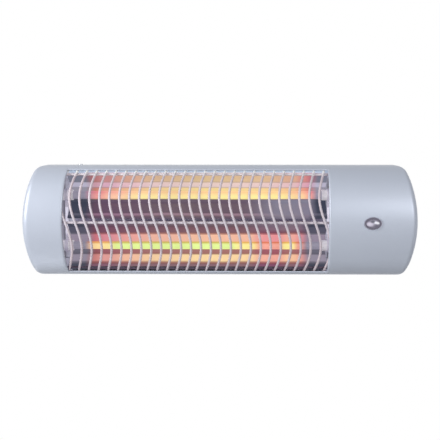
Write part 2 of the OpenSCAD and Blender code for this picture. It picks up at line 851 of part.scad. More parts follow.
// ---------------------------------------------------------------- screws and rivets

rear_head_r = 3.2;
rear_head_t = 1.9;
rear_screw_end = 13;
top_head_r = 2.8;
top_head_t = 1.2;
top_screw_len = 6;

module rear_screws() {
    color([0.55, 0.56, 0.58]) at_bosses() {
        rod_depth(-flange_t - rear_head_t, -flange_t, 0, 0, rear_head_r);
        rod_depth(-flange_t - 0.2, rear_screw_end, 0, 0, pilot_r);
    }
}

module top_screw() {
    color([0.55, 0.56, 0.58]) translate([top_screw_x, y_of(top_screw_depth), 0]) {
        translate([0, 0, half_h]) cylinder(h = top_head_t, r = top_head_r);
        translate([0, 0, half_h - top_screw_len])
            cylinder(h = top_screw_len + 0.2, r = top_screw_hole_r - 0.1);
    }
}

rivet_r = 1.6;
rivet_head_r = 3;
rivet_head_t = 1.2;
rivet_in_x = 16;          // from the yoke's ears to the rivets
rivet_in_z = 8;           // from the yoke's edges to the rivets
yoke_t = 1.5;
yoke_h = 40;
washer_t = 0.6;
washer_r = 7;
washer_gap = 0.4;
bracket_inner = bracket_w / 2 - bracket_t;
yoke_outer = bracket_inner - washer_t - washer_gap;
yoke_plate = -tray_depth - yoke_t;
pivot_depth = yoke_plate - pivot_back;
ear_r = 9;

module at_rivets() {
    x = yoke_outer - rivet_in_x;
    z = yoke_h / 2 - rivet_in_z;
    for (x_side = [-1, 1], z_side = [-1, 1]) translate([x_side * x, 0, z_side * z]) children();
}

// ---------------------------------------------------------------- tilt yoke and wall bracket

// Ear drawn as [depth, z]: a round eye about the pivot and a web that widens to the plate
module ear_profile(plate_depth, half_w) {
    translate([pivot_depth, 0]) circle(r = ear_r);
    polygon([
        [plate_depth, -half_w], [pivot_depth, -ear_r], [pivot_depth, ear_r], [plate_depth, half_w]
    ]);
}

module tilt_yoke() {
    color([0.55, 0.57, 0.60]) difference() {
        union() {
            translate([-yoke_outer, y_of(-tray_depth), -yoke_h / 2]) cube([2 * yoke_outer, yoke_t, yoke_h]);
            for (x = [-yoke_outer, yoke_outer - yoke_t])
                along_x(x, x + yoke_t) ear_profile(-tray_depth - 0.5, yoke_h / 2);
        }
        rod_x(-yoke_outer - past, yoke_outer + past, pivot_depth, 0, pivot_d / 2 + running);
        at_rivets() rod_depth(yoke_plate - past, -tray_depth + past, 0, 0, rivet_r);
    }
}

module yoke_rivets() {
    color([0.7, 0.71, 0.73]) at_rivets() {
        rod_depth(yoke_plate - rivet_head_t, yoke_plate, 0, 0, rivet_head_r);
        rod_depth(yoke_plate - 0.2, tray_floor + 0.2, 0, 0, rivet_r);
        rod_depth(tray_floor, tray_floor + rivet_head_t, 0, 0, rivet_head_r);
    }
}

rib_out = 4;

module wall_bracket() {
    color([0.55, 0.57, 0.60]) difference() {
        union() {
            translate([-bracket_w / 2, -bracket_t, -bracket_h / 2]) cube([bracket_w, bracket_t, bracket_h]);
            for (x = [-bracket_w / 2, bracket_inner])
                along_x(x, x + bracket_t) ear_profile(-wall_gap + bracket_t / 2, bracket_h / 2);
            // stiffening ribs along the top and bottom edges
            for (z = [-bracket_h / 2, bracket_h / 2 - bracket_t])
                translate([-bracket_w / 2, -bracket_t - rib_out, z])
                    cube([bracket_w, rib_out + bracket_t / 2, bracket_t]);
        }
        rod_x(-bracket_w / 2 - past, bracket_w / 2 + past, pivot_depth, 0, pivot_d / 2);
        for (side = [-1, 1]) translate([side * wall_hole_gap / 2, past, 0]) rotate([90, 0, 0])
            cylinder(h = bracket_t + 2 * past, r = wall_hole_d / 2);
    }
}

module at_pivots() {
    for (side = [0, 1]) mirror([side, 0, 0]) children();
}

bolt_head_t = 3.6;
bolt_head_r = 5.4;
nut_t = 5;
nut_r = 5.8;
bolt_past_nut = 1.5;
nut_x = yoke_outer - yoke_t - seat - nut_t;

module pivot_bolts() {
    color([0.75, 0.76, 0.78]) at_pivots() {
        rod_x(bracket_w / 2, bracket_w / 2 + bolt_head_t, pivot_depth, 0, bolt_head_r);
        rod_x(nut_x - bolt_past_nut, bracket_w / 2 + 0.2, pivot_depth, 0, pivot_d / 2);
    }
}

module pivot_washers() {
    color([0.8, 0.8, 0.82]) at_pivots() difference() {
        rod_x(bracket_inner - washer_t, bracket_inner, pivot_depth, 0, washer_r);
        rod_x(bracket_inner - washer_t - past, bracket_inner + past, pivot_depth, 0, pivot_d / 2);
    }
}

module pivot_nuts() {
    color([0.75, 0.76, 0.78]) at_pivots() difference() {
        translate([nut_x, y_of(pivot_depth), 0]) rotate([0, 90, 0]) cylinder(h = nut_t, r = nut_r, $fn = 6);
        rod_x(nut_x - past, nut_x + nut_t + past, pivot_depth, 0, pivot_d / 2);
    }
}

// ---------------------------------------------------------------- the pieces

front_casing();
back_pan();
guard_wires();
guard_rails();
guard_centre_bar();
bulkhead_left();
bulkhead_right();
reflector_upper();
reflector_lower();
tube_holder_left();
tube_holder_right();
quartz_tube_upper();
quartz_tube_lower();
heating_coil_upper();
heating_coil_lower();
ceramic_caps();
terminal_pins();
indicator_bezel();
indicator_lens();
lamp_holder();
neon_lamp();
pull_switch_body();
pull_slider();
pull_spring();
pull_bush();
terminal_block();
terminal_screws();
thermal_cutout();
cable_gland();
gland_nut();
rear_screws();
top_screw();
tilt_yoke();
yoke_rivets();
wall_bracket();
pivot_bolts();
pivot_washers();
pivot_nuts();
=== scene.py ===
# %% [markdown]
# # A wall heater with two glowing quartz tubes
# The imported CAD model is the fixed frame: its pieces already have their true sizes and places. This lesson
# gives them their looks. Where a piece needs a softer form than the CAD's, such as the casing with its
# rounded rims or the bent guard wires, a new surface is worked out with numpy and stands for the CAD node.

# %% Load the frame
import math

import bmesh
import bpy
import numpy as np
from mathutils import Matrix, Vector


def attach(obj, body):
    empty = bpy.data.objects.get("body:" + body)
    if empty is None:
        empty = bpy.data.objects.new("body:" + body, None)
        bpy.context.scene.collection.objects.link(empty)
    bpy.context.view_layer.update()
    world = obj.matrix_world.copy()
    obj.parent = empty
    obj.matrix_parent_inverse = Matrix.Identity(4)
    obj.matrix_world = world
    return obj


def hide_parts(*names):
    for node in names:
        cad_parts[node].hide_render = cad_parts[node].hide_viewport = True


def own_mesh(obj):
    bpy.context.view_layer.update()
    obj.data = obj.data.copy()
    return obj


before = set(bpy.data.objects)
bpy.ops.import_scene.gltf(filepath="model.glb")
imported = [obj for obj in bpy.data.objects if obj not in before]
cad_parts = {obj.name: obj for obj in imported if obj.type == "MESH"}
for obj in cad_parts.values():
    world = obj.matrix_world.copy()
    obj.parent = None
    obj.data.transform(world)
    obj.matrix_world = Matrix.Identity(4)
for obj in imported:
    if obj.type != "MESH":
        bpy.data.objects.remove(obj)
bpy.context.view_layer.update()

MM = 0.001

# %% [markdown]
# ## Camera
# The picture was taken from nearly straight ahead, five degrees above the middle of the heater and a little
# to its right, about 1.4 m away. A long lens keeps the two ends almost equally large. The angles and the
# distance were solved from the outline, so the camera is placed by them and simply looks at a point inside
# the casing.

# %% Place the camera
CAMERA_AIM = Vector((0, -78 * MM, 0))
CAMERA_AZIMUTH, CAMERA_ELEVATION = math.radians(0.94), math.radians(4.98)
CAMERA_DISTANCE = 1369 * MM


def stand_and_face(thing, place, direction):
    """Puts a camera or a lamp into the scene at a place, and turns it to look in a direction."""
    bpy.context.scene.collection.objects.link(thing)
    thing.location = place
    thing.rotation_mode = "QUATERNION"
    thing.rotation_quaternion = direction.to_track_quat("-Z", "Y")


toward_camera = Vector((math.sin(CAMERA_AZIMUTH) * math.cos(CAMERA_ELEVATION),
                        -math.cos(CAMERA_AZIMUTH) * math.cos(CAMERA_ELEVATION),
                        math.sin(CAMERA_ELEVATION)))
camera_data = bpy.data.cameras.new("camera")
camera_data.lens = 85.9
camera_data.sensor_width = 36
camera_data.clip_start = 50 * MM
camera = bpy.data.objects.new("camera", camera_data)
stand_and_face(camera, CAMERA_AIM + toward_camera * CAMERA_DISTANCE, -toward_camera)
bpy.context.scene.camera = camera
print("camera stands at", [round(v, 3) for v in camera.location])

# %% [markdown]
# ## Node helpers
# Every finish below is a tree of shader nodes. Written out node by node, such a tree is long and hard to
# read. So each helper stands for one small step: `put` adds a node, `fill` links or sets its inputs, and
# the others give back the socket that carries their result.

# %% Helpers for shader nodes
def fill(tree, node, inputs):
    """Fills inputs of a node: a value that is a socket is linked, and any other is set."""
    for name, value in inputs.items():
        if isinstance(value, bpy.types.NodeSocket):
            tree.links.new(value, node.inputs[name])
        else:
            node.inputs[name].default_value = value


def put(tree, kind, inputs=None, **settings):
    """Adds a shader node with its settings and inputs."""
    node = tree.nodes.new("ShaderNode" + kind)
    for name, value in settings.items():
        setattr(node, name, value)
    fill(tree, node, inputs or {})
    return node


def maths(tree, operation, a, b=0.0, c=0.0, clamp=False):
    """One Math node."""
    return put(tree, "Math", {0: a, 1: b, 2: c}, operation=operation, use_clamp=clamp).outputs[0]


def product(tree, result, *factors):
    """Values multiplied with each other."""
    for factor in factors:
        result = maths(tree, "MULTIPLY", result, factor)
    return result


def minus(tree, a, b):
    """One value less another."""
    return maths(tree, "SUBTRACT", a, b)


def steps_past(tree, value, start, size):
    """How far a value lies past a start, counted in steps of a size: (value - start) / size."""
    return maths(tree, "DIVIDE", minus(tree, value, start), size)


def hypotenuse(tree, a, b):
    """Square root of a * a + b * b."""
    return maths(tree, "SQRT", maths(tree, "ADD", product(tree, a, a), product(tree, b, b)))


def axes(tree, vector):
    """X, Y and Z of a vector, as three sockets."""
    return put(tree, "SeparateXYZ", {"Vector": vector}).outputs


def ramp(tree, value, low, high, to_low=0.0, to_high=1.0, smooth=True):
    """Maps a value from low..high to to_low..to_high, with soft ends."""
    return put(tree, "MapRange", {"Value": value, "From Min": low, "From Max": high,
                                  "To Min": to_low, "To Max": to_high},
               interpolation_type="SMOOTHSTEP" if smooth else "LINEAR").outputs["Result"]


def noise(tree, where, scale, detail=3.0, roughness=0.5, stretch=None, spread=None):
    """Noise, stretched along an axis if wanted. Its usual values, 0.3 to 0.7, are mapped to the spread."""
    if stretch is not None:
        where = put(tree, "Mapping", {"Vector": where, "Scale": stretch}).outputs[0]
    value = put(tree, "TexNoise", {"Vector": where, "Scale": scale, "Detail": detail,
                                   "Roughness": roughness}).outputs["Fac"]
    return value if spread is None else ramp(tree, value, 0.3, 0.7, *spread)


# %% Helpers for colours
def rgb(red, green, blue):
    """A colour given as it looks on screen, 0 to 255, turned into the linear values that shaders use."""
    screen = np.array([red, green, blue]) / 255
    linear = np.where(screen <= 0.04045, screen / 12.92, ((screen + 0.055) / 1.055) ** 2.4)
    return (*[float(v) for v in linear], 1.0)


def blend_colours(tree, share, a, b, mode="MIX"):
    """Mixes two colours by a share from 0 to 1."""
    return put(tree, "Mix", {0: share, 6: a, 7: b}, data_type="RGBA", blend_type=mode).outputs[2]


def multiply_colours(tree, a, b):
    """One colour tinted by another."""
    return blend_colours(tree, 1.0, a, b, "MULTIPLY")


def share_of(tree, colour, share):
    """A colour made darker or lighter by a number."""
    if not isinstance(colour, bpy.types.NodeSocket):
        colour = colour[:3]
    return put(tree, "VectorMath", {0: colour, "Scale": share}, operation="SCALE").outputs[0]


def gradient(tree, value, stops):
    """A row of colours along a value: stops are (value, screen colour), with a soft change between them."""
    low, high = stops[0][0], stops[-1][0]
    node = put(tree, "ValToRGB", {"Fac": steps_past(tree, value, low, high - low)})
    row = node.color_ramp
    row.interpolation = "EASE"
    row.elements[0].color, row.elements[1].color = rgb(*stops[0][1]), rgb(*stops[-1][1])
    for at, colour in stops[1:-1]:
        row.elements.new((at - low) / (high - low)).color = rgb(*colour)
    return node.outputs["Color"]


print("plain grey, as shaders take it:", [round(v, 3) for v in rgb(128, 128, 128)])

# %% [markdown]
# An effect that several materials use could be copied into each of them, but then a change has to be made
# many times. A node group is built once and placed with other values: `shared_effect` opens one with named
# sockets, `use_effect` places it, and `cover` lays its colour, roughness and normal over a whole material.

# %% Helpers for materials
def shared_effect(name, inputs, outputs):
    """Opens a node group. inputs are (name, kind, default) and outputs (name, kind)."""
    tree = bpy.data.node_groups.new(name, "ShaderNodeTree")
    for label, kind, default in inputs:
        socket = tree.interface.new_socket(name=label, in_out="INPUT", socket_type="NodeSocket" + kind)
        if default is not None:
            socket.default_value = default
    for label, kind in outputs:
        tree.interface.new_socket(name=label, in_out="OUTPUT", socket_type="NodeSocket" + kind)
    return tree, tree.nodes.new("NodeGroupInput").outputs, tree.nodes.new("NodeGroupOutput").inputs


def use_effect(tree, effect, **values):
    """Places a shared effect in a material with its own values."""
    return put(tree, "Group", values, node_tree=effect).outputs


def parts_of(material):
    """Tree, Principled BSDF and object coordinates of a material."""
    tree = material.node_tree
    return tree, tree.nodes["Principled BSDF"], tree.nodes["Texture Coordinate"].outputs["Object"]


def start_material(name):
    """A new material with its tree, its Principled BSDF and the object's own coordinates."""
    material = bpy.data.materials.new(name)
    material.use_nodes = True
    put(material.node_tree, "TexCoord")
    return material, *parts_of(material)


def facing(tree):
    """Which way a surface faces along Y: -1 is straight out of the heater's front."""
    return axes(tree, tree.nodes["Texture Coordinate"].outputs["Normal"])["Y"]


def cover(tree, shader, effect, **values):
    """Lays an effect's colour, roughness and normal over a material."""
    out = use_effect(tree, effect, **values)
    fill(tree, shader, {"Base Color": out["Colour"], "Roughness": out["Roughness"],
                        "Normal": out["Normal"]})
    return out


# %% [markdown]
# ## Effects that several finishes share
# Real sheet metal is never one flat colour. Rolled sheet has fine streaks along the rolling direction, zinc
# coating has soft crystals, paint has tiny flecks and an orange-peel skin, and steel near a hot tube takes
# straw and violet tints. Each is built once here. The soft band is a mask that the glowing pieces use many
# times.

# %% Lacquer, rolled sheet, heat and soft band
TUBE_HEIGHT, TUBE_Y = 32.9 * MM, -81 * MM
RELIEF = 0.2 * MM  # height that the bumps of a skin are given
COVERING = [("Colour", "Color"), ("Roughness", "Float"), ("Normal", "Vector")]


def make_lacquer_effect():
    """Colour varies by fine flecks and a slow cloud; the normal has an orange-peel skin."""
    tree, given, out = shared_effect("lacquer", [
        ("Where", "Vector", None), ("Colour", "Color", (0.5, 0.5, 0.5, 1)), ("Fleck", "Float", 0.06),
        ("Roughness", "Float", 0.4)], COVERING)
    cloud = noise(tree, given["Where"], 9)
    lightness = maths(tree, "ADD", noise(tree, given["Where"], 2600, 2, 0.7, spread=(-1, 1)),
                      ramp(tree, cloud, 0.3, 0.7, -0.4, 0.4))
    factor = maths(tree, "MULTIPLY_ADD", lightness, given["Fleck"], 1.0)
    tree.links.new(share_of(tree, given["Colour"], factor), out["Colour"])
    tree.links.new(maths(tree, "ADD", given["Roughness"], ramp(tree, cloud, 0.3, 0.7, -0.03, 0.03)),
                   out["Roughness"])
    peel = put(tree, "Bump", {"Height": noise(tree, given["Where"], 900, 2), "Strength": 0.05,
                              "Distance": RELIEF})
    tree.links.new(peel.outputs[0], out["Normal"])
    return tree


def make_sheet_effect():
    """Rolled sheet: streaks along X, and zinc crystals of the given strength."""
    tree, given, out = shared_effect("rolled sheet", [
        ("Where", "Vector", None), ("Colour", "Color", (0.5, 0.5, 0.5, 1)), ("Streaks", "Float", 0.08),
        ("Crystals", "Float", 0.0), ("Roughness", "Float", 0.35)], COVERING)
    streaks = noise(tree, given["Where"], 60, 4, 0.6, (0.15, 9, 9), spread=(-1, 1))
    crystals = put(tree, "TexVoronoi", {"Vector": given["Where"], "Scale": 130}).outputs["Color"]
    tone = put(tree, "RGBToBW", {"Color": crystals}).outputs[0]
    lightness = maths(tree, "ADD", product(tree, streaks, given["Streaks"]),
                      product(tree, ramp(tree, tone, 0.2, 0.8, -1, 1), given["Crystals"]))
    tree.links.new(share_of(tree, given["Colour"], maths(tree, "ADD", lightness, 1.0)), out["Colour"])
    tree.links.new(minus(tree, given["Roughness"], product(tree, lightness, 0.4)), out["Roughness"])
    marks = put(tree, "Bump", {"Height": streaks, "Strength": 0.06, "Distance": RELIEF})
    tree.links.new(marks.outputs[0], out["Normal"])
    return tree


def make_heat_effect():
    """How hot a place runs: 1 beside a tube and 0 far from both, measured in the plane square to the
    tubes."""
    tree, given, out = shared_effect("heat", [("Where", "Vector", None), ("Reach", "Float", 0.04)],
                                     [("Heat", "Float")])
    split = axes(tree, given["Where"])
    distance = hypotenuse(tree, minus(tree, maths(tree, "ABSOLUTE", split["Z"]), TUBE_HEIGHT),
                          minus(tree, split["Y"], TUBE_Y))
    coolness = maths(tree, "DIVIDE", distance, given["Reach"])
    tree.links.new(maths(tree, "SUBTRACT", 1.0, coolness, clamp=True), out["Heat"])
    return tree


def make_band_effect():
    """A soft-edged band of a value: 1 between Low and High, falling to 0 over Blur."""
    tree, given, out = shared_effect("soft band", [
        ("Value", "Float", 0.0), ("Low", "Float", 0.0), ("High", "Float", 1.0), ("Blur", "Float", 0.1)],
        [("Band", "Float")])
    edges = [maths(tree, "ADD", steps_past(tree, given[a], given[b], given["Blur"]), 0.5, clamp=True)
             for a, b in (("Value", "Low"), ("High", "Value"))]
    tree.links.new(product(tree, *edges), out["Band"])
    return tree


def band(tree, value, low, high, blur):
    """A soft-edged band, as a mask."""
    return use_effect(tree, BAND, Value=value, Low=low, High=high, Blur=blur)["Band"]


LACQUER, SHEET = make_lacquer_effect(), make_sheet_effect()
HEAT, BAND = make_heat_effect(), make_band_effect()
print("shared effects:", [group.name for group in bpy.data.node_groups])

# %% [markdown]
# ## Mesh helpers
# Two forms cover nearly everything: a grid of points that is joined into quads, and a round bar carried
# along a path. Blender could bend and subdivide a cube into either, but a formula gives the exact curve at
# once. Both are computed as whole arrays and handed to Blender in one call.

# %% Helpers for surfaces
def make_piece(name, points, faces, body, *stands_for, slot=None):
    """Puts arrays of points and faces into a smooth-shaded mesh that rides on a body and replaces CAD
    nodes."""
    mesh = bpy.data.meshes.new(name)
    mesh.from_pydata(points.tolist(), [], faces if isinstance(faces, list) else faces.tolist())
    mesh.validate()
    mesh.shade_smooth()
    piece = bpy.data.objects.new(name, mesh)
    bpy.context.scene.collection.objects.link(piece)
    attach(piece, body)
    if stands_for:
        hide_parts(*stands_for)
    print(f"{name}: {len(mesh.vertices)} points, {len(mesh.polygons)} faces")
    return piece


def grid_faces(rows, columns, wrap=False):
    """Quads between neighbouring rows and columns of points stored row by row; wrap joins the last column
    to the first."""
    row = np.arange(rows - 1)[:, None] * columns
    column = np.arange(columns if wrap else columns - 1)[None, :]
    after = (column + 1) % columns
    quads = np.stack([row + column, row + after, row + columns + after, row + columns + column], axis=-1)
    return quads.reshape(-1, 4)


def bar_along(path, radius, sides, across=(1.0, 0.0, 0.0)):
    """Points of a round bar: each place on the path plus radius times (cos t * a + sin t * b), where a and
    b are unit vectors square to the path. Two shrunken rings at each end close it with a rounded tip."""
    path = np.asarray(path, float)
    ahead = np.gradient(path, axis=0)
    ahead /= np.linalg.norm(ahead, axis=1, keepdims=True)
    a = np.cross(ahead, np.asarray(across, float))
    a /= np.linalg.norm(a, axis=1, keepdims=True)
    b = np.cross(ahead, a)
    tip_shares, tip_steps = np.array([0.02, 0.7]), radius * np.array([[0.7], [0.4]])
    before, after = path[0] - ahead[0] * tip_steps, (path[-1] + ahead[-1] * tip_steps)[::-1]
    middles = np.concatenate([before, path, after])
    shares = np.concatenate([tip_shares, np.ones(len(path)), tip_shares[::-1]])
    pick = np.concatenate([[0, 0], np.arange(len(path)), [len(path) - 1] * 2])
    turn = np.linspace(0, 2 * np.pi, sides, endpoint=False)
    ring = np.cos(turn)[None, :, None] * a[pick][:, None] + np.sin(turn)[None, :, None] * b[pick][:, None]
    points = middles[:, None] + radius * shares[:, None, None] * ring
    count = len(middles)
    ends = [list(range(sides))[::-1], list(range((count - 1) * sides, count * sides))]
    return points.reshape(-1, 3), grid_faces(count, sides, wrap=True).tolist() + ends


def outward(piece):
    """Joins doubled points and turns every face outwards."""
    mesh = bmesh.new()
    mesh.from_mesh(piece.data)
    bmesh.ops.remove_doubles(mesh, verts=mesh.verts, dist=1e-6)
    bmesh.ops.dissolve_degenerate(mesh, edges=mesh.edges, dist=1e-7)
    bmesh.ops.recalc_face_normals(mesh, faces=mesh.faces)
    mesh.to_mesh(piece.data)
    mesh.free()
    piece.data.shade_smooth()
    return piece


# %% [markdown]
# ## The casing's form
# The real casing is one pressed shell: a D seen from the end, a bar with bowed ends seen from the front,
# and a soft fillet where the ends turn into the front. The form is written as two distances, one to each
# outline, joined by a rounded corner. Rays sent out from a line inside the shell find the surface by
# halving the distance again and again, for all points at once.

# %% Sizes of the casing
WALL_GAP = 48 * MM
DEPTH = 78 * MM
HALF_LENGTH = 250 * MM
HALF_HEIGHT = 71 * MM
CROWN_R, SHOULDER_R = 110 * MM, 42 * MM
END_BOW_R, END_CORNER_R = 190 * MM, 13 * MM
END_FILLET_R = 7 * MM
SHEET_T = 1.8 * MM
WINDOW_LEFT, WINDOW_RIGHT = -198.9 * MM, 138.2 * MM
WINDOW_TOP, WINDOW_BOTTOM = 66.8 * MM, -65.8 * MM
WINDOW_BOW, BOW_HALF = 3.5 * MM, 63.4 * MM  # bow of the window's left edge, and at which height it ends
FACE_Y = -WALL_GAP - 60 * MM  # the middle of the front lies before this
LENS_X = 193 * MM
BEZEL_HALF_LENGTH, BEZEL_HALF_HEIGHT, BEZEL_ARC_R = 11 * MM, 7.9 * MM, 13.2 * MM
HOLE_INSET = 1.7 * MM  # how far the bezel reaches over the edge of its hole


def bowed_distance(u, v, reach, half, bow, corner):
    """Distance from a bowed outline, negative inside, and how far its normal leans towards the side. The
    distance is taken from the big end arc inside that arc's fan, from the corner arc beyond it, and from
    the straight side before it."""
    v = np.abs(v)
    corner_u = reach - bow + math.sqrt((bow - corner) ** 2 - (half - corner) ** 2)
    corner_v = half - corner
    slope = corner_v / (corner_u - (reach - bow))
    to_bow = np.hypot(u - (reach - bow), v)
    to_corner = np.hypot(u - corner_u, v - corner_v)
    in_fan = (v < slope * (u - (reach - bow))) & (u > reach - bow)
    in_corner = ~in_fan & (u > corner_u)
    distance = np.where(in_fan, to_bow - bow, np.where(in_corner, to_corner - corner, v - half))
    lean = np.where(in_fan, v / np.maximum(to_bow, 1e-9),
                    np.where(in_corner, (v - corner_v) / np.maximum(to_corner, 1e-9), 1.0))
    return distance, lean


def casing_distance(points):
    """Distance from the casing. Where the two outlines meet at an angle, with c the cosine between their
    normals, the fillet's middle lies r inside both; the distance from it is the square root of p*p + q*q +
    2*c*p*q, where p and q are the steps along the two normals that lead from that middle to the point."""
    x, depth, z = points[..., 0], -points[..., 1] - WALL_GAP, points[..., 2]
    section, section_lean = bowed_distance(depth, z, DEPTH, HALF_HEIGHT, CROWN_R, SHOULDER_R)
    front, front_lean = bowed_distance(np.abs(x), z, HALF_LENGTH, HALF_HEIGHT, END_BOW_R, END_CORNER_R)
    r = END_FILLET_R
    c = np.clip(section_lean * front_lean, 0, 0.9995)
    a, b = section + r, front + r
    p, q = (a - c * b) / (1 - c * c), (b - c * a) / (1 - c * c)
    fillet = np.sqrt(np.maximum(p * p + q * q + 2 * c * p * q, 0)) - r
    return np.where((p > 0) & (q > 0), fillet, np.maximum(section, front))


def find_surface(starts, directions):
    """Where each ray leaves the casing, by halving an interval of 200 mm 32 times."""
    low = np.zeros(starts.shape[:-1])
    high = np.full(starts.shape[:-1], 200 * MM)
    for _ in range(32):
        middle = (low + high) / 2
        inside = casing_distance(starts + directions * middle[..., None]) < 0
        low = np.where(inside, middle, low)
        high = np.where(inside, high, middle)
    return starts + directions * low[..., None]


def surface_normals(points):
    """Slope of the casing's distance along each axis, which points straight out of the surface."""
    slopes = [casing_distance(points + shift) - casing_distance(points - shift)
              for shift in np.eye(3) * 0.02 * MM]
    normals = np.stack(slopes, axis=-1)
    return normals / np.linalg.norm(normals, axis=-1, keepdims=True)


back_middle = np.array([0, -WALL_GAP, 0])
inside = -float(casing_distance(back_middle)) / MM
print("the middle of the back lies", round(inside, 1), "mm inside the skin")

# %% [markdown]
# ## The casing's grid
# One family of grid lines runs round the D, the other along the heater and then fans out over each end.
# Lines lie close together beside the window, because its rim is rolled inwards: near the opening each point
# sinks along the normal, following a quarter circle. The inner skin is the same grid, one sheet thickness
# further in.

# %% Grid lines round the section and along the heater
def spaced(start, stop, step):
    """Evenly spaced values from start to stop, about one step apart, without the last."""
    count = max(2, int(round(abs(stop - start) / step)))
    return np.linspace(start, stop, count, endpoint=False)


def section_curve():
    """Angles of rays round the D, the length along it to each ray's end, and that end's height."""
    angles = np.radians(np.linspace(-90, 90, 4001))
    rays = np.stack([np.zeros_like(angles), -np.cos(angles), np.sin(angles)], axis=-1)
    starts = np.zeros_like(rays)
    starts[:, 1] = -WALL_GAP
    curve = find_surface(starts, rays)
    steps = np.linalg.norm(np.diff(curve, axis=0), axis=1)
    return angles, np.concatenate([[0], np.cumsum(steps)]), curve[:, 2]


ROLL_STEPS = np.array([0.12, 0.35, 0.7, 1.1, 1.5, 2.0, 2.7, 3.6, 4.8]) * MM
NEAR = ROLL_STEPS[-1]
FAN_FROM = 212 * MM
ANGLES, LENGTHS, HEIGHTS = section_curve()
front_half = np.abs(ANGLES) < math.radians(60)
LOW_EDGE, MIDDLE, HIGH_EDGE = np.interp([WINDOW_BOTTOM, 0, WINDOW_TOP],
                                        HEIGHTS[front_half], LENGTHS[front_half])
LENS_REACH = 9 * MM  # height over which the rows lie close, for the indicator's hole
LENS_FROM, LENS_TO = LENS_X - 14 * MM, LENS_X + 14 * MM  # and length over which the columns do
round_lengths = np.concatenate([
    spaced(0, LOW_EDGE - NEAR, 2.8 * MM), LOW_EDGE - ROLL_STEPS[::-1],
    spaced(LOW_EDGE, MIDDLE - LENS_REACH, 3 * MM),
    spaced(MIDDLE - LENS_REACH, MIDDLE + LENS_REACH, 1.2 * MM),
    spaced(MIDDLE + LENS_REACH, HIGH_EDGE, 3 * MM), [HIGH_EDGE], HIGH_EDGE + ROLL_STEPS,
    spaced(LENGTHS[-1], HIGH_EDGE + NEAR, 2.8 * MM)[::-1]])
round_angles = np.interp(round_lengths, LENGTHS, ANGLES)
round_heights = np.interp(round_angles, ANGLES, HEIGHTS)
along = np.concatenate([
    spaced(-FAN_FROM, WINDOW_LEFT - NEAR, 2 * MM), WINDOW_LEFT - ROLL_STEPS[::-1],
    spaced(WINDOW_LEFT, WINDOW_RIGHT, 9 * MM), [WINDOW_RIGHT], WINDOW_RIGHT + ROLL_STEPS,
    spaced(LENS_FROM, WINDOW_RIGHT + NEAR, 3 * MM)[::-1],
    spaced(LENS_FROM, LENS_TO, 1.2 * MM)[1:], spaced(FAN_FROM, LENS_TO, 2.5 * MM)[::-1]])
fan = np.radians(np.concatenate([[3, 6], np.linspace(8, 40, 33), np.linspace(43, 90, 14)]))
print("grid:", len(round_lengths), "rows round the section,", len(along) + 2 * len(fan), "columns along it")

# %% [markdown]
# The window is a hole in that grid, and the small oval for the indicator is a second one whose edge points
# are moved onto the oval. Cutting the oval with a Boolean modifier would leave long thin faces round it,
# which show in the lacquer's highlight.

# %% The outer skin and its holes
def oval_distance(x, z):
    """Distance from the indicator's oval opening: a middle circle cut by two circles shifted up and
    down."""
    x, shift = x - LENS_X, BEZEL_ARC_R - BEZEL_HALF_HEIGHT
    arcs = np.maximum(np.hypot(x, z - shift), np.hypot(x, z + shift)) - BEZEL_ARC_R
    return np.maximum(arcs, np.hypot(x, z) - BEZEL_HALF_LENGTH) + HOLE_INSET


def window_left_at(z):
    """The window's left edge bows inwards: its middle lies furthest left."""
    return WINDOW_LEFT + WINDOW_BOW * np.clip(z / BOW_HALF, -1, 1) ** 2


def casing_grid():
    """Points of the outer skin, before any rim is rolled: rows run round the D, columns along the heater.
    Columns within 13 mm of the window's left edge bow with it."""
    z = round_heights[:, None]
    x = np.repeat(along[None, :], len(round_angles), axis=0)
    near_left = np.clip(1 - (np.abs(x - WINDOW_LEFT) - 2 * MM) / (11 * MM), 0, 1)
    x = x + (window_left_at(z) - WINDOW_LEFT) * near_left * near_left * (3 - 2 * near_left)
    theta = round_angles[:, None]
    columns = []
    for side, push in ((-1, fan[::-1]), (0, None), (1, fan)):
        if side == 0:
            ray = np.stack([0 * x, -np.cos(theta) + 0 * x, np.sin(theta) + 0 * x], axis=-1)
            start = np.stack([x, -WALL_GAP + 0 * x, 0 * x], axis=-1)
        else:
            turn = push[None, :]
            ray = np.stack([side * np.sin(turn) + 0 * theta, -np.cos(turn) * np.cos(theta),
                            np.cos(turn) * np.sin(theta)], axis=-1)
            start = np.zeros_like(ray) + np.array([side * FAN_FROM, -WALL_GAP, 0])
        columns.append(find_surface(start, ray))
    return np.concatenate(columns, axis=1)


def move_onto_oval(points, removed):
    """Points at the edge of the indicator's hole move straight out from its middle onto the oval."""
    rows, columns = points.shape[:2]
    touched = np.zeros((rows, columns, 2), bool)
    for down, right in ((0, 0), (0, 1), (1, 0), (1, 1)):
        part = touched[down:rows - 1 + down, right:columns - 1 + right]
        part[..., 0] |= removed
        part[..., 1] |= ~removed
    edge = touched.all(axis=-1)
    x, z = points[edge, 0] - LENS_X, points[edge, 2]
    far = np.hypot(x, z)
    low, high = np.zeros_like(far), np.full_like(far, 20 * MM)
    for _ in range(30):
        middle = (low + high) / 2
        inside = oval_distance(LENS_X + x / far * middle, z / far * middle) < 0
        low, high = np.where(inside, middle, low), np.where(inside, high, middle)
    points[edge, 0] = LENS_X + x / far * low
    points[edge, 2] = z / far * low
    crown_centre = CROWN_R - DEPTH
    points[edge, 1] = -WALL_GAP + crown_centre - np.sqrt(CROWN_R ** 2 - points[edge, 2] ** 2)
    return points


print("the indicator's hole is", round(2 * (BEZEL_HALF_LENGTH - HOLE_INSET) / MM, 1), "mm long")

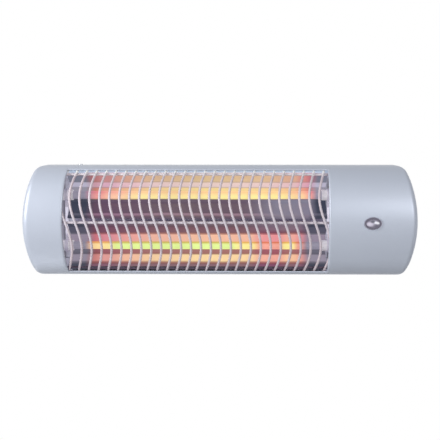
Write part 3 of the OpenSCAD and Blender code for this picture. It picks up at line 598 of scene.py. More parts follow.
# %% [markdown]
# Pressed sheet has no sharp edge: the window's sides are rolled deeply inwards, and its other edges and the
# indicator's hole are softened. A Bevel modifier would round every edge alike, so each point sinks by its
# own distance from the edge. Both holes and the open back then get a rim that joins the two skins, so the
# shell is closed sheet metal.

# %% The casing
SIDE_ROLL = 3.2 * MM, 1.5 * MM  # how far a roll reaches from the window's side, and how deep it sinks
EDGE_ROLL = 1.5 * MM, 1.3 * MM
LENS_ROLL = 1.2 * MM, 0.9 * MM


def quarter_roll(distance, reach, depth):
    """How far a rolled edge has sunk: depth at the edge, nothing from reach onwards, a quarter ellipse
    between."""
    share = np.clip(1 - distance / reach, 0, 1)
    return depth * (1 - np.sqrt(1 - share ** 2))


def nearest(values, wanted):
    """Place of the value that lies nearest to the wanted one."""
    return int(np.argmin(np.abs(values - wanted)))


def build_casing():
    """Outer skin, inner skin and the rims between them. A point of the outer skin sinks along its normal by
    its roll plus its softening; the window's top edge is softened over a third of the others' reach. A
    point of the inner skin lies one sheet thickness plus the roll below the outer skin."""
    outer = casing_grid()
    rows, columns = outer.shape[:2]
    left, right = (len(fan) + nearest(along, edge) for edge in (WINDOW_LEFT, WINDOW_RIGHT))
    bottom, top = (nearest(round_lengths, edge) for edge in (LOW_EDGE, HIGH_EDGE))
    middles = (outer[1:, 1:] + outer[:-1, :-1] + outer[1:, :-1] + outer[:-1, 1:]) / 4
    lens_hole = (oval_distance(middles[..., 0], middles[..., 2]) < 0) & (middles[..., 1] < FACE_Y)
    outer = move_onto_oval(outer, lens_hole)
    hole = lens_hole.copy()
    hole[bottom:top, left:right] = True

    normals = surface_normals(outer)
    arc = np.repeat(round_lengths[:, None], columns, axis=1)
    past_x = np.maximum(window_left_at(outer[..., 2]) - outer[..., 0], outer[..., 0] - WINDOW_RIGHT)
    past_z = np.maximum(LOW_EDGE - arc, arc - HIGH_EDGE)
    past = np.hypot(np.maximum(past_x, 0), np.maximum(past_z, 0))
    side_only = np.clip((BOW_HALF - 2 * MM - np.abs(outer[..., 2])) / (5 * MM), 0, 1)
    roll = quarter_roll(np.maximum(past_x, 0), *SIDE_ROLL) * side_only * (past_z < 0)
    sharp_top = np.where((arc > HIGH_EDGE) & (past_x < 0), 0.35, 1.0)
    soften = quarter_roll(past / sharp_top, *EDGE_ROLL) * sharp_top
    lens_soften = quarter_roll(np.maximum(oval_distance(outer[..., 0], outer[..., 2]), 0), *LENS_ROLL)
    lens_soften = np.where(outer[..., 1] < FACE_Y, lens_soften, 0)
    inner = outer - normals * (SHEET_T + roll)[..., None]
    softer = soften * (1 - roll / (1.6 * MM))  # next to nothing where the roll is at its deepest
    skin = outer - normals * np.maximum(roll + softer, lens_soften)[..., None]
    inner[[0, -1], :, 1] = -WALL_GAP

    kept = ~hole
    number = np.arange(rows * columns).reshape(rows, columns)
    quads = np.stack([number[:-1, :-1], number[:-1, 1:], number[1:, 1:], number[1:, :-1]], axis=-1)
    skins = np.concatenate([quads[kept], quads[kept][:, ::-1] + rows * columns])
    padded = np.pad(kept, 1)
    rims = []
    for one, two, a, b in ((padded[:-1, 1:-1], padded[1:, 1:-1], number[:, :-1], number[:, 1:]),
                           (padded[1:-1, :-1], padded[1:-1, 1:], number[:-1], number[1:])):
        edge = one != two
        if edge.shape[1] == columns:  # the first and the last column are one point each and have no rim
            edge[:, 0] = edge[:, -1] = False
        a, b = a[edge], b[edge]
        rims.append(np.stack([a, b, b + rows * columns, a + rows * columns], axis=-1))
    points = np.concatenate([skin.reshape(-1, 3), inner.reshape(-1, 3)])
    return points, np.concatenate([skins, *rims])


casing = outward(make_piece("casing", *build_casing(), "housing", "front_casing", slot="casing_paint"))
for corner in range(3):
    values = [vertex.co[corner] / MM for vertex in casing.data.vertices]
    print("casing from", round(min(values), 2), "to", round(max(values), 2), "mm")

# %% [markdown]
# A flat painted ledge stands behind the window's upper edge, and the tips of the wires end in front of it.
# It is a strip of its own, because its edges are sharp while the window's are rolled. It is shaded flat for
# the same reason.

# %% The ledge behind the window's upper edge
LEDGE_SECTION = [(-90.4, 62.2), (-88.6, 67.7), (-87.8, 67.5), (-89.6, 62.0)]  # y and z of its edges in mm


def build_ledge():
    """A flat strip behind the window's upper edge, from the trough's lip up to the inside of the casing:
    two rows of points for its front and two, one thickness further in, for its back."""
    x = np.linspace(WINDOW_LEFT - 2.5 * MM, WINDOW_RIGHT + 2.5 * MM, 60)
    points = np.concatenate([np.stack([x, np.full_like(x, y * MM), np.full_like(x, z * MM)], axis=-1)
                             for y, z in LEDGE_SECTION])
    first, count = 3 * len(x), len(x)
    closing = [[first + i, first + i + 1, i + 1, i] for i in range(count - 1)]
    ends = [list(range(0, 4 * count, count)), list(range(count - 1, 4 * count, count))[::-1]]
    return points, grid_faces(4, count).tolist() + closing + ends


ledge = outward(make_piece("window_ledge", *build_ledge(), "housing", slot="casing_paint"))
ledge.data.shade_flat()

# %% [markdown]
# ## The wire guard
# Each of the 27 wires is bent twice: seen from the front it is an S, and seen from the end it follows the
# crown of the casing. A path made of straight pieces would show its corners on a bright wire, so each path
# is worked out every 1.5 mm and a round bar is carried along it. The same path bends the wire towards the
# wall behind the casing's edge. The rails share the wires' finish, so an attribute marks every point that
# belongs to a wire.

# %% Guard wires
WIRES = 27
FIRST_WIRE_X, WIRE_STEP = -195.35 * MM, 12.65 * MM
SWING, SWING_HALF_HEIGHT = 7.5 * MM, 32.4 * MM
WIRE_TOP, WIRE_R, WIRE_INSET = 65.5 * MM, 1.6 * MM, 3.5 * MM


def skin_depth(z, inset):
    """Depth of the casing's section at height z, moved inwards by inset: the crown arc in the middle and a
    shoulder arc on each side."""
    z = np.abs(z)
    crown = CROWN_R - DEPTH
    shoulder_z, shoulder_depth = 29 * MM, 29.5 * MM
    on_crown = z < shoulder_z * (CROWN_R - inset) / (CROWN_R - SHOULDER_R)
    front = -crown + np.sqrt(np.maximum((CROWN_R - inset) ** 2 - z ** 2, 0))
    side = shoulder_depth + np.sqrt(np.maximum((SHOULDER_R - inset) ** 2 - (z - shoulder_z) ** 2, 0))
    return np.where(on_crown, front, side)


def build_wires():
    """All the wires in one set of arrays; x = place - swing * sin(90 degrees * z / half height of the
    swing)."""
    z = np.linspace(-WIRE_TOP, WIRE_TOP, 88)
    sway = -SWING * np.sin(np.pi / 2 * z / SWING_HALF_HEIGHT)
    y = -WALL_GAP - skin_depth(z, WIRE_INSET)
    points, faces, count = [], [], 0
    for wire in range(WIRES):
        path = np.stack([FIRST_WIRE_X + WIRE_STEP * wire + sway, y, z], axis=-1)
        ring_points, ring_faces = bar_along(path, WIRE_R, 12)
        points.append(ring_points)
        faces += [[corner + count for corner in face] for face in ring_faces]
        count += len(ring_points)
    return np.concatenate(points), faces


wires = outward(make_piece("wires", *build_wires(), "housing", "guard_wires", slot="guard_wire"))
is_wire = wires.data.attributes.new("is_wire", "FLOAT", "POINT")
is_wire.data.foreach_set("value", np.ones(len(wires.data.vertices), dtype=np.float32))

# %% [markdown]
# ## Coils and the switch spring
# A coil is a helix: the radius times cosine and sine of an angle that grows along the axis. Each heating
# coil runs straight at its ends and swells into the helix over a few millimetres. The spring has closed
# turns at both ends. It is built at its full height; on the switch it flattens when the slider is pulled
# down.

# %% Heating coils and pull spring
COIL_FROM, COIL_TO = -174.15 * MM, 115.15 * MM
LEAD_FROM, LEAD_TO = -199.05 * MM, 140.05 * MM
COIL_R, COIL_WIRE_R, COIL_TURNS = 2.75 * MM, 0.5 * MM, 96
SPRING_X, SPRING_Y, SPRING_BOTTOM, SPRING_HEIGHT = 181.5 * MM, -62 * MM, -56.5 * MM, 20.6 * MM
SPRING_R, SPRING_WIRE_R, SPRING_TURNS = 3.4 * MM, 0.38 * MM, 7.5


def build_coil(tube_z):
    """Straight lead, helix of 14 points a turn, and straight lead. Radius = full radius times a smooth step
    over the helix's first and last 3 mm."""
    turn = np.linspace(0, 2 * np.pi * COIL_TURNS, COIL_TURNS * 14 + 1)
    x = np.linspace(COIL_FROM, COIL_TO, len(turn))
    swell = np.clip(np.minimum(x - COIL_FROM, COIL_TO - x) / (3 * MM), 0, 1)
    radius = COIL_R * swell * swell * (3 - 2 * swell)
    helix = np.stack([x, TUBE_Y + radius * np.cos(turn), tube_z + radius * np.sin(turn)], axis=-1)
    before, after = ([(at, TUBE_Y, tube_z) for at in np.linspace(start, stop, 8)]
                     for start, stop in ((LEAD_FROM, COIL_FROM - 1 * MM), (COIL_TO + 1 * MM, LEAD_TO)))
    return bar_along(np.concatenate([before, helix, after]), COIL_WIRE_R, 6, across=(0.03, 0.2, 1.0))


def build_spring():
    """Helix about an upright axis: three quarters of a turn nearly flat at each end, six open turns
    between."""
    turn = np.linspace(0, 1, 240)
    height = np.interp(turn, [0, 0.1, 0.9, 1], [0, 0.045, 0.955, 1])
    angle = 2 * np.pi * SPRING_TURNS * turn
    path = np.stack([SPRING_X + SPRING_R * np.cos(angle), SPRING_Y + SPRING_R * np.sin(angle),
                     SPRING_BOTTOM + height * SPRING_HEIGHT], axis=-1)
    return bar_along(path, SPRING_WIRE_R, 8, across=(0.0, 0.0, 1.0))


for label, tube_z in (("upper", TUBE_HEIGHT), ("lower", -TUBE_HEIGHT)):
    outward(make_piece("coil_" + label, *build_coil(tube_z), "housing", "heating_coil_" + label,
                       slot="coil"))
spring = outward(make_piece("spring", *build_spring(), "housing", "pull_spring", slot="spring_steel"))
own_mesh(spring)

# %% [markdown]
# ## Finishes: paint and wire
# The casing is lacquered in a silver grey with a little blue in it. Metallic lacquer sits between paint and
# metal: a part of its light comes off tiny flakes, so it gets a broad soft highlight over the crown and
# darkens to the sides. The ledge has the same lacquer, but it lies in the shade behind the window's edge,
# so a plain painted glow stands in for the light it catches from the tubes. The guard's plating is dulled
# and a little rosy close to the tubes. Its top rail and the tips of its wires get a painted highlight in
# front of the ledge, and its lower rail gets painted shade.

# %% Lacquer and guard wire
MATERIALS = {}
# Painted highlights on the top rail and the wires' tips, and painted shade on the lower rail below.
GUARD_PAINTED_HIGHLIGHTS = [  # heights in mm between which a brighter part of the guard sets in, and its colour
    (58.0, 58.8, (0.80, 0.745, 0.79, 1)), (61.6, 62.4, (1, 1, 1, 1))]
LOW_RAIL_SHADE_FROM, LOW_RAIL_SHADE_FULL = -57.6 * MM, -58.6 * MM


def finish_casing(name):
    """Silver lacquer with a broad highlight."""
    material, tree, shader, place = start_material(name)
    cover(tree, shader, LACQUER, Where=place, Colour=(0.52, 0.565, 0.665, 1), Fleck=0.03, Roughness=0.4)
    fill(tree, shader, {"Metallic": 0.2})
    return material


def finish_ledge():
    """The casing's lacquer with a painted glow, which stands in for the light of the tubes."""
    material = finish_casing("ledge_paint_and_painted_glow")
    tree, shader, _ = parts_of(material)
    # Painted light: an even glow lightens the shaded ledge.
    fill(tree, shader, {"Emission Color": rgb(130, 145, 156), "Emission Strength": 1.0})
    return material


def finish_guard_wire():
    """Plated wire with drawing marks along it. Its colour falls off towards the rim as a painted reflection
    of the dark chamber in its sides, but hardly where the centre bar crosses it. The top rail and the wires'
    tips get painted highlights, and the lower rail gets painted shade."""
    material, tree, shader, place = start_material("guard_wire")
    marks = noise(tree, place, 700, 3, 0.6, (1, 1, 0.08), spread=(-1, 1))
    heat = use_effect(tree, HEAT, Where=place, Reach=52 * MM)["Heat"]
    core = blend_colours(tree, heat, (0.63, 0.58, 0.645, 1), (0.71, 0.555, 0.59, 1))
    height = axes(tree, place)["Z"]
    # Painted shade: the colour darkens towards the wire's rim, for the dark chamber seen in its sides.
    rim_painted_shade = ramp(tree, put(tree, "LayerWeight", {"Blend": 0.5}).outputs["Facing"], 0.55, 1.0, 0.0, 0.5)
    off_bar = ramp(tree, maths(tree, "ABSOLUTE", height), 1.6 * MM, 6 * MM, 0.2, 1.0)
    colour = blend_colours(tree, product(tree, rim_painted_shade, off_bar), core, (0.27, 0.23, 0.31, 1))
    # Painted highlight: the top rail and the wires' tips are made brighter.
    for low, high, shown in GUARD_PAINTED_HIGHLIGHTS:
        colour = blend_colours(tree, ramp(tree, height, low * MM, high * MM), colour, shown)
    on_rail = minus(tree, 1.0, put(tree, "Attribute", attribute_name="is_wire").outputs["Fac"])
    # Painted shade: the lower rail is made nearly black.
    low_rail_shade = product(tree, ramp(tree, height, LOW_RAIL_SHADE_FROM, LOW_RAIL_SHADE_FULL), on_rail)
    fill(tree, shader, {"Base Color": blend_colours(tree, low_rail_shade, colour, (0.10, 0.075, 0.12, 1)),
                        "Roughness": maths(tree, "MULTIPLY_ADD", marks, 0.04, 0.5), "Metallic": 0.1})
    return material


MATERIALS["casing_paint"] = finish_casing("casing_paint")
MATERIALS["ledge_paint_and_painted_glow"] = finish_ledge()
MATERIALS["guard_wire"] = finish_guard_wire()
print("finishes so far:", list(MATERIALS))

# %% [markdown]
# ## Finishes: the glowing chamber
# The polished troughs mirror the tubes as long stripes: straight beside a tube the stripe is bright,
# further out it turns orange and pink, and between the two tubes the sheet looks into the dark. Rays could
# find these stripes, but a coil mirrored in thin bent sheet takes very many of them. So each stripe is
# painted as a soft band of the height Z, in one of eleven named hues: a painted reflection. A hue has a
# second colour, the painted reflection that the bare sheet shows beyond the ends of the coils. The glow is
# also tinted along X, because a coil runs cooler and rosier towards its ends.

# %% Hues and tints of the glow
# Both colours of a hue are painted reflections, given to the sheet as glow.
HUES = {  # how a hue looks where the coil glows, and what the bare sheet shows there beyond the coil
    "lemon": ((250, 238, 166), (128, 126, 138)), "amber": ((243, 214, 150), (146, 142, 156)),
    "peach": ((249, 216, 166), (146, 138, 154)), "apricot": ((242, 188, 163), (144, 132, 150)),
    "khaki": ((214, 184, 150), (116, 118, 134)), "blush": ((226, 200, 196), (178, 174, 194)),
    "rust": ((164, 112, 106), (100, 98, 112)), "wine": ((108, 76, 92), (78, 78, 94)),
    "mauve": ((146, 118, 136), (88, 88, 104)), "plum": ((98, 82, 98), (58, 62, 78)),
    "dusk": ((134, 100, 114), (66, 70, 84)),
}
STRIPES = [  # lowest and highest Z in mm, and the hue
    (-68, -61, "plum"), (-61, -56.6, "dusk"), (-56.6, -54.4, "rust"), (-54.4, -46, "peach"),
    (-46, -37, "rust"), (-37, -19.8, "apricot"), (-19.8, -17.4, "rust"), (-17.4, -8, "wine"),
    (-8, 6.2, "plum"), (6.2, 9.8, "mauve"), (9.8, 26.4, "plum"), (26.4, 36, "lemon"),
    (36, 41.6, "amber"), (41.6, 49.2, "blush"), (49.2, 59.5, "khaki"), (59.5, 66, "blush"),
]
TINTS = [  # place along the tubes in mm, and what the glow is multiplied with
    (-180, (160, 130, 160)), (-168, (200, 148, 186)), (-150, (228, 188, 234)), (-120, (244, 220, 242)),
    (-85, (250, 244, 250)), (-20, (255, 255, 250)), (50, (255, 250, 250)), (96, (252, 230, 244)),
    (108, (245, 190, 228)), (120, (222, 150, 208))]
LEMON, LIME, HONEY, SALMON = (250, 236, 150), (220, 242, 148), (244, 212, 150), (236, 160, 144)
LOWER_CORE = [  # place along the lower tube in mm, and the colour of its glow
    (-175, (212, 168, 144)), (-160, HONEY), (-148, (246, 222, 152)), (-132, LIME), (12, LIME),
    (28, LEMON), (40, LEMON), (54, SALMON), (76, SALMON), (85, LEMON), (93, LEMON), (102, SALMON),
    (118, (200, 120, 124))]
UPPER_CORE = [
    (-172, (176, 128, 144)), (-158, (226, 150, 144)), (-140, (242, 190, 160)), (-100, (246, 226, 156)),
    (80, (250, 230, 152)), (104, (246, 208, 154)), (119, (232, 150, 142))]
TUBE_R = 5 * MM
UPPER_GLOW_END = 121


def along_tubes(tree, split, stops):
    """A row of colours along the tubes."""
    return gradient(tree, split["X"], [(at * MM, colour) for at, colour in stops])


def upper_half(tree, split, below=0.0, above=1.0):
    """One value in the lower half of the chamber and another in the upper, with a soft step between."""
    return ramp(tree, split["Z"], -10 * MM, 10 * MM, below, above)


def lit_length(tree, split, start, lower_end, blur):
    """1 beside the glowing coils and 0 beyond them, given in mm; the upper coil glows further to the
    right."""
    end = upper_half(tree, split, lower_end * MM, UPPER_GLOW_END * MM)
    return band(tree, split["X"], start * MM, end, blur * MM)


def glow_unevenness(tree, place):
    """Lightness of the glow along the tubes: it wavers a little from turn to turn and more slowly over a
    hand's width."""
    slow = noise(tree, place, 22, 2, 0.5, (1, 0.25, 0.25), spread=(-0.05, 0.04))
    quick = noise(tree, place, 110, 3, 0.6, (1, 0.5, 0.5), spread=(-0.06, 0.03))
    return maths(tree, "ADD", maths(tree, "ADD", slow, quick), 1.0)


print("stripes of the troughs:", len(STRIPES), "in", len(HUES), "hues")

# %% [markdown]
# A trough is one bent sheet, so its finish has to find out where it is: Z picks the stripe, X says whether
# the coil still glows there, and the normal tells the front from the back, which doesn't glow. A mesh of
# its own for each stripe would have hard edges and would hide the sheet.

# %% Trough sheet
def salmon_patch(tree, split, colour):
    """In the lower tube a length of the coil runs cooler, right of the middle: its glow turns salmon."""
    low = product(tree, band(tree, split["X"], 47 * MM, 82 * MM, 12 * MM),
                  ramp(tree, split["Z"], -12 * MM, -20 * MM))
    return blend_colours(tree, low, colour, multiply_colours(tree, colour, rgb(244, 212, 244)))


def finish_reflector():
    """Bare mirror sheet, with painted stripes of reflected glow laid over its front. Warm stripes take the
    tints along X, and at the right the dark sheet between the tubes gets a painted reflection of the room."""
    material, tree, shader, place = start_material("reflector_aluminium")
    split = axes(tree, place)
    ripple = ramp(tree, noise(tree, place, 18, 3, 0.6, (1, 0.4, 0.4)), 0.25, 0.75, -0.6, 0.6, smooth=False)
    z_mm = maths(tree, "ADD", product(tree, split["Z"], 1000), ripple)
    glow, bare_reflection = (0, 0, 0, 1), (0, 0, 0, 1)
    for low, high, hue in STRIPES:
        share = band(tree, z_mm, low, high, 2.2)
        glow = blend_colours(tree, share, glow, rgb(*HUES[hue][0]))
        bare_reflection = blend_colours(tree, share, bare_reflection, rgb(*HUES[hue][1]))
    # Painted reflection of the room on the dark sheet between the tubes, at the right.
    room_reflection = product(tree, band(tree, z_mm, -14, 26.4, 4), ramp(tree, split["X"], 20 * MM, 85 * MM),
                        ramp(tree, split["Z"], 0, 10 * MM, 0.45, 1))
    parts = put(tree, "SeparateColor", {"Color": glow}).outputs
    warmth = ramp(tree, minus(tree, parts["Red"], parts["Blue"]), 0.02, 0.4, 0.35, 1.0)
    glow = blend_colours(tree, warmth, glow, multiply_colours(tree, glow, along_tubes(tree, split, TINTS)))
    glow = salmon_patch(tree, split, blend_colours(tree, room_reflection, glow, rgb(126, 123, 142)))
    strength = product(tree, ramp(tree, facing(tree), -0.05, -0.2), glow_unevenness(tree, place))
    sheet = cover(tree, shader, SHEET, Where=place, Colour=(0.5, 0.5, 0.54, 1), Streaks=0.07, Roughness=0.3)
    fill(tree, shader, {
        "Base Color": blend_colours(tree, strength, sheet["Colour"], (0.02, 0.018, 0.024, 1)),
        "Emission Color": blend_colours(tree, lit_length(tree, split, -171, 110, 12), bare_reflection, glow),
        "Emission Strength": strength, "Metallic": 1.0})
    return material


MATERIALS["reflector_aluminium"] = finish_reflector()
print("nodes in the trough's finish:", len(MATERIALS["reflector_aluminium"].node_tree.nodes))

# %% [markdown]
# The quartz is milky, so the coil shows as a glowing core and not as single turns. Light scattered in the
# wall of such a thin tube takes very many rays, so the glass gets a glow of its own: a row of colours along
# X, and a redder tone over a part of its height. The coil inside is red hot along its helix only.

# %% Tubes and coils
def finish_quartz():
    """Milky quartz lit from inside. The upper tube is yellow along its belly and more orange above; the
    lower one is greenish at the left, yellow and then salmon at the right. Beyond the coils both are given a
    grey painted glow."""
    material, tree, shader, place = start_material("quartz")
    split = axes(tree, place)
    height = steps_past(tree, maths(tree, "ABSOLUTE", split["Z"]), TUBE_HEIGHT, TUBE_R)
    upper, lower = along_tubes(tree, split, UPPER_CORE), along_tubes(tree, split, LOWER_CORE)
    upper = blend_colours(tree, ramp(tree, height, -0.5, 0.9), upper,
                          multiply_colours(tree, upper, rgb(248, 222, 240)))
    lower = blend_colours(tree, ramp(tree, height, -0.25, -0.95), lower,
                          multiply_colours(tree, lower, rgb(232, 186, 150)))
    glow = blend_colours(tree, upper_half(tree, split), lower, upper)
    lit = lit_length(tree, split, -172, 109, 8)
    # Painted light: beyond the coils the glass glows a plain grey.
    fill(tree, shader, {
        "Base Color": blend_colours(tree, lit, rgb(100, 98, 112), rgb(60, 50, 40)),
        "Emission Color": blend_colours(tree, lit, rgb(124, 120, 134), glow),
        "Emission Strength": glow_unevenness(tree, place),
        "Roughness": 0.3, "IOR": 1.46, "Transmission Weight": 0.2})
    return material


def finish_coil():
    """Resistance wire: red hot along the helix, dull grey in its straight ends."""
    material, tree, shader, place = start_material("coil")
    hot = band(tree, axes(tree, place)["X"], -172 * MM, 114 * MM, 6 * MM)
    spots = noise(tree, place, 900, 2, spread=(0.75, 1.0))
    fill(tree, shader, {
        "Base Color": blend_colours(tree, hot, (0.25, 0.24, 0.25, 1), (0.32, 0.16, 0.10, 1)),
        "Emission Color": share_of(tree, rgb(255, 150, 60), product(tree, hot, spots)),
        "Emission Strength": 1.6, "Metallic": 0.8, "Roughness": 0.5})
    return material


MATERIALS["quartz"] = finish_quartz()
MATERIALS["coil"] = finish_coil()
print("finishes so far:", len(MATERIALS))

# %% [markdown]
# ## Finishes: sheet metal
# The same rolled-sheet effect gives all the bare metals: galvanised pan with crystals, plain bracket steel,
# plated screws, tinned terminals and brass. Beside the tubes the bulkheads and holders run straw and violet
# from the heat. Sheets that stand close to a tube are lit by it. Thousands of rays would be spent on that
# little light, so each has a faint painted glow of its own on its front, and the bar of each holder, which
# lies between the tubes, has the brightest. The pan's inside gets such a painted glow too.

# %% Metals
def finish_metal(name, colour, roughness, streaks=0.08, crystals=0.0, tint=0.0):
    """Bare sheet or bar; tint lets it run straw and violet beside the tubes."""
    material, tree, shader, place = start_material(name)
    shown = cover(tree, shader, SHEET, Where=place, Colour=(*colour, 1), Streaks=streaks, Crystals=crystals,
                  Roughness=roughness)["Colour"]
    if tint:
        heat = product(tree, use_effect(tree, HEAT, Where=place, Reach=45 * MM)["Heat"], tint)
        straw = blend_colours(tree, ramp(tree, heat, 0.1, 0.45), shown, (0.55, 0.38, 0.2, 1))
        shown = blend_colours(tree, ramp(tree, heat, 0.45, 0.9), straw, (0.26, 0.2, 0.34, 1))
    fill(tree, shader, {"Base Color": shown, "Metallic": 1.0})
    return material


def add_glow(material, colour, share):
    """The tubes light what stands close to them: adds that share of a colour to a finish."""
    tree, shader, _ = parts_of(material)
    fill(tree, shader, {"Emission Color": share_of(tree, colour, share), "Emission Strength": 1.0})
    return material


def finish_pan():
    """Galvanised sheet. On its inside a painted glow stands in for the light it catches: a little of the
    tubes' glow between the two troughs, and more of the room's light past their ends."""
    material = finish_metal("pan_steel", (0.50, 0.52, 0.55), 0.42, crystals=0.09)
    tree, _, place = parts_of(material)
    split = axes(tree, place)
    past_ends = maths(tree, "MAXIMUM", ramp(tree, split["X"], -195 * MM, -198 * MM),
                      ramp(tree, split["X"], 137 * MM, 140 * MM))
    seen = maths(tree, "MAXIMUM", band(tree, split["Z"], -12 * MM, 12 * MM, 4 * MM), past_ends)
    inside = product(tree, ramp(tree, facing(tree), -0.3, -0.7),
                     band(tree, split["X"], -209 * MM, 144 * MM, 2 * MM))
    streaks = noise(tree, place, 90, 3, 0.6, (4, 1, 0.3), spread=(0.8, 1.1))
    # Painted light on the pan's inside, streaked along the sheet.
    return add_glow(material, blend_colours(tree, past_ends, rgb(70, 60, 82), rgb(138, 136, 150)),
                    product(tree, seen, inside, streaks))


def finish_end_sheet(name, colour, glow, bar_painted_glow=None):
    """Sheet beside the ends of the tubes with a painted glow on its front for the tubes' light; a bar
    between the two tubes' heights gets the brightest painted glow.
    """
    material = finish_metal(name, colour, 0.4, tint=0.15)
    tree, shader, place = parts_of(material)
    split = axes(tree, place)
    streaks = noise(tree, place, 120, 3, 0.6, (1, 1, 0.2), spread=(0.75, 1.1))
    shown = rgb(*glow)
    if bar_painted_glow:
        shown = blend_colours(tree, band(tree, split["Z"], -18 * MM, 17 * MM, 2 * MM), shown, rgb(*bar_painted_glow))
    fill(tree, shader, {"Metallic": 0.7})
    # Painted light: the glow on the sheet's front stands in for the tubes' light.
    return add_glow(material, shown, product(tree, ramp(tree, split["Y"], -45 * MM, -70 * MM), streaks))


MATERIALS.update({
    "pan_steel": finish_pan(),
    "sheet_steel": finish_end_sheet("sheet_steel", (0.56, 0.55, 0.59), (112, 110, 124)),
    "holder_steel": finish_end_sheet("holder_steel", (0.66, 0.65, 0.70), (104, 101, 114), (176, 174, 188)),
    "terminal_metal": finish_metal("terminal_metal", (0.62, 0.6, 0.58), 0.32),
    "spring_steel": finish_metal("spring_steel", (0.4, 0.4, 0.42), 0.3, streaks=0.05),
    "plated_screw": finish_metal("plated_screw", (0.56, 0.57, 0.6), 0.3, crystals=0.04),
    "bracket_steel": finish_metal("bracket_steel", (0.40, 0.42, 0.46), 0.4, crystals=0.05),
    "brass": finish_metal("brass", (0.72, 0.52, 0.22), 0.3, streaks=0.05),
})
print("finishes so far:", len(MATERIALS))

# %% [markdown]
# ## Finishes: ceramic and plastics
# The ceramic caps are matt with a scatter of dark specks, which are the cells of a Voronoi texture cut off
# close to their middles, and a faint painted glow stands in for the tubes' light on them. Plastics get the
# lacquer's cloud and flecks as the grain of their mould.

# %% Ceramic and plastics
def finish_plastic(name, colour, roughness, grain=0.03):
    """Moulded plastic with a slight cloud in its colour and a fine grain on its skin."""
    material, tree, shader, place = start_material(name)
    cover(tree, shader, LACQUER, Where=place, Colour=(*colour, 1), Fleck=grain, Roughness=roughness)
    return material


def finish_ceramic():
    """Off-white steatite with a scatter of small dark specks, and a faint painted glow for the light of the
    tubes close by.
    """
    material, tree, shader, place = start_material("ceramic")
    from_speck = put(tree, "TexVoronoi", {"Vector": place, "Scale": 420.0}).outputs["Distance"]
    cloud = noise(tree, place, 60, spread=(0, 1))
    body = blend_colours(tree, cloud, (0.78, 0.77, 0.80, 1), (0.86, 0.85, 0.90, 1))
    shown = blend_colours(tree, ramp(tree, from_speck, 0.12, 0.2), (0.5, 0.47, 0.44, 1), body)
    grit = put(tree, "Bump", {"Height": noise(tree, place, 1500, 2), "Strength": 0.15, "Distance": RELIEF})
    # Painted light: the ceramic glows faintly in its own colour.
    fill(tree, shader, {"Base Color": shown, "Emission Color": shown, "Emission Strength": 0.2,
                        "Normal": grit.outputs[0], "Roughness": 0.62})
    return material


MATERIALS.update({
    "ceramic": finish_ceramic(),
    "white_plastic": finish_plastic("white_plastic", (0.74, 0.73, 0.7), 0.45),
    "black_plastic": finish_plastic("black_plastic", (0.022, 0.022, 0.026), 0.42, grain=0.1),
    "bush_plastic": finish_plastic("bush_plastic", (0.16, 0.16, 0.19), 0.4, grain=0.06),
    "slider_plastic": finish_plastic("slider_plastic", (0.7, 0.7, 0.71), 0.4),
})
print("finishes so far:", len(MATERIALS))

# %% [markdown]
# ## Finishes: the indicator
# The indicator is a smoky rose dome in a rim of dark chrome, with a small neon lamp behind it. Its facets
# are moulded into its hidden side, where a mesh of them would hardly show. The light and dark patches on
# the dome are painted highlights and painted reflections, laid over it as soft round spots, and a faint
# painted glow lightens it. The rim's edge gets a painted highlight.

# %% Indicator
LENS_HALF_LENGTH, LENS_HALF_HEIGHT = 8.3 * MM, 5.2 * MM
# Painted highlights and painted reflections on the dome.
LENS_PAINTED_REFLECTIONS = [  # across and up in half lengths and half heights of the dome, reach and colour
    (0.0, 0.0, 1.3, (0.34, 0.32, 0.41, 1)), (-0.5, -0.15, 0.75, (0.60, 0.56, 0.68, 1)),
    (0.5, -0.65, 0.7, (0.12, 0.11, 0.16, 1)), (0.35, 0.28, 0.42, (0.86, 0.86, 0.96, 1)),
    (0.66, 0.12, 0.42, (0.90, 0.90, 0.98, 1)), (-0.08, 0.5, 0.5, (0.10, 0.095, 0.14, 1))]


def from_lens_middle(tree, place, half_length, half_height):
    """How far a point lies from the indicator's middle, as shares of a half length and a half height."""
    split = axes(tree, place)
    return steps_past(tree, split["X"], LENS_X, half_length), maths(tree, "DIVIDE", split["Z"], half_height)


def finish_bezel():
    """Dark chrome: nearly black metal with a bright clear coat, fine turning marks and a painted highlight
    on its edge.
    """
    material, tree, shader, place = start_material("bezel_chrome")
    marks = noise(tree, place, 500, 3, 0.6, (1, 0.1, 1), spread=(-1, 1))
    out = hypotenuse(tree, *from_lens_middle(tree, place, BEZEL_HALF_LENGTH, BEZEL_HALF_HEIGHT))
    # Painted highlight: the outer edge of the rim is made pale.
    edge = ramp(tree, out, 0.92, 1.03)
    fill(tree, shader, {
        "Base Color": blend_colours(tree, edge, (0.13, 0.12, 0.165, 1), (0.48, 0.48, 0.56, 1)),
        "Roughness": maths(tree, "MULTIPLY_ADD", marks, 0.03, 0.24), "Metallic": 0.9,
        "Coat Weight": 0.5, "Coat Roughness": 0.1})
    return material


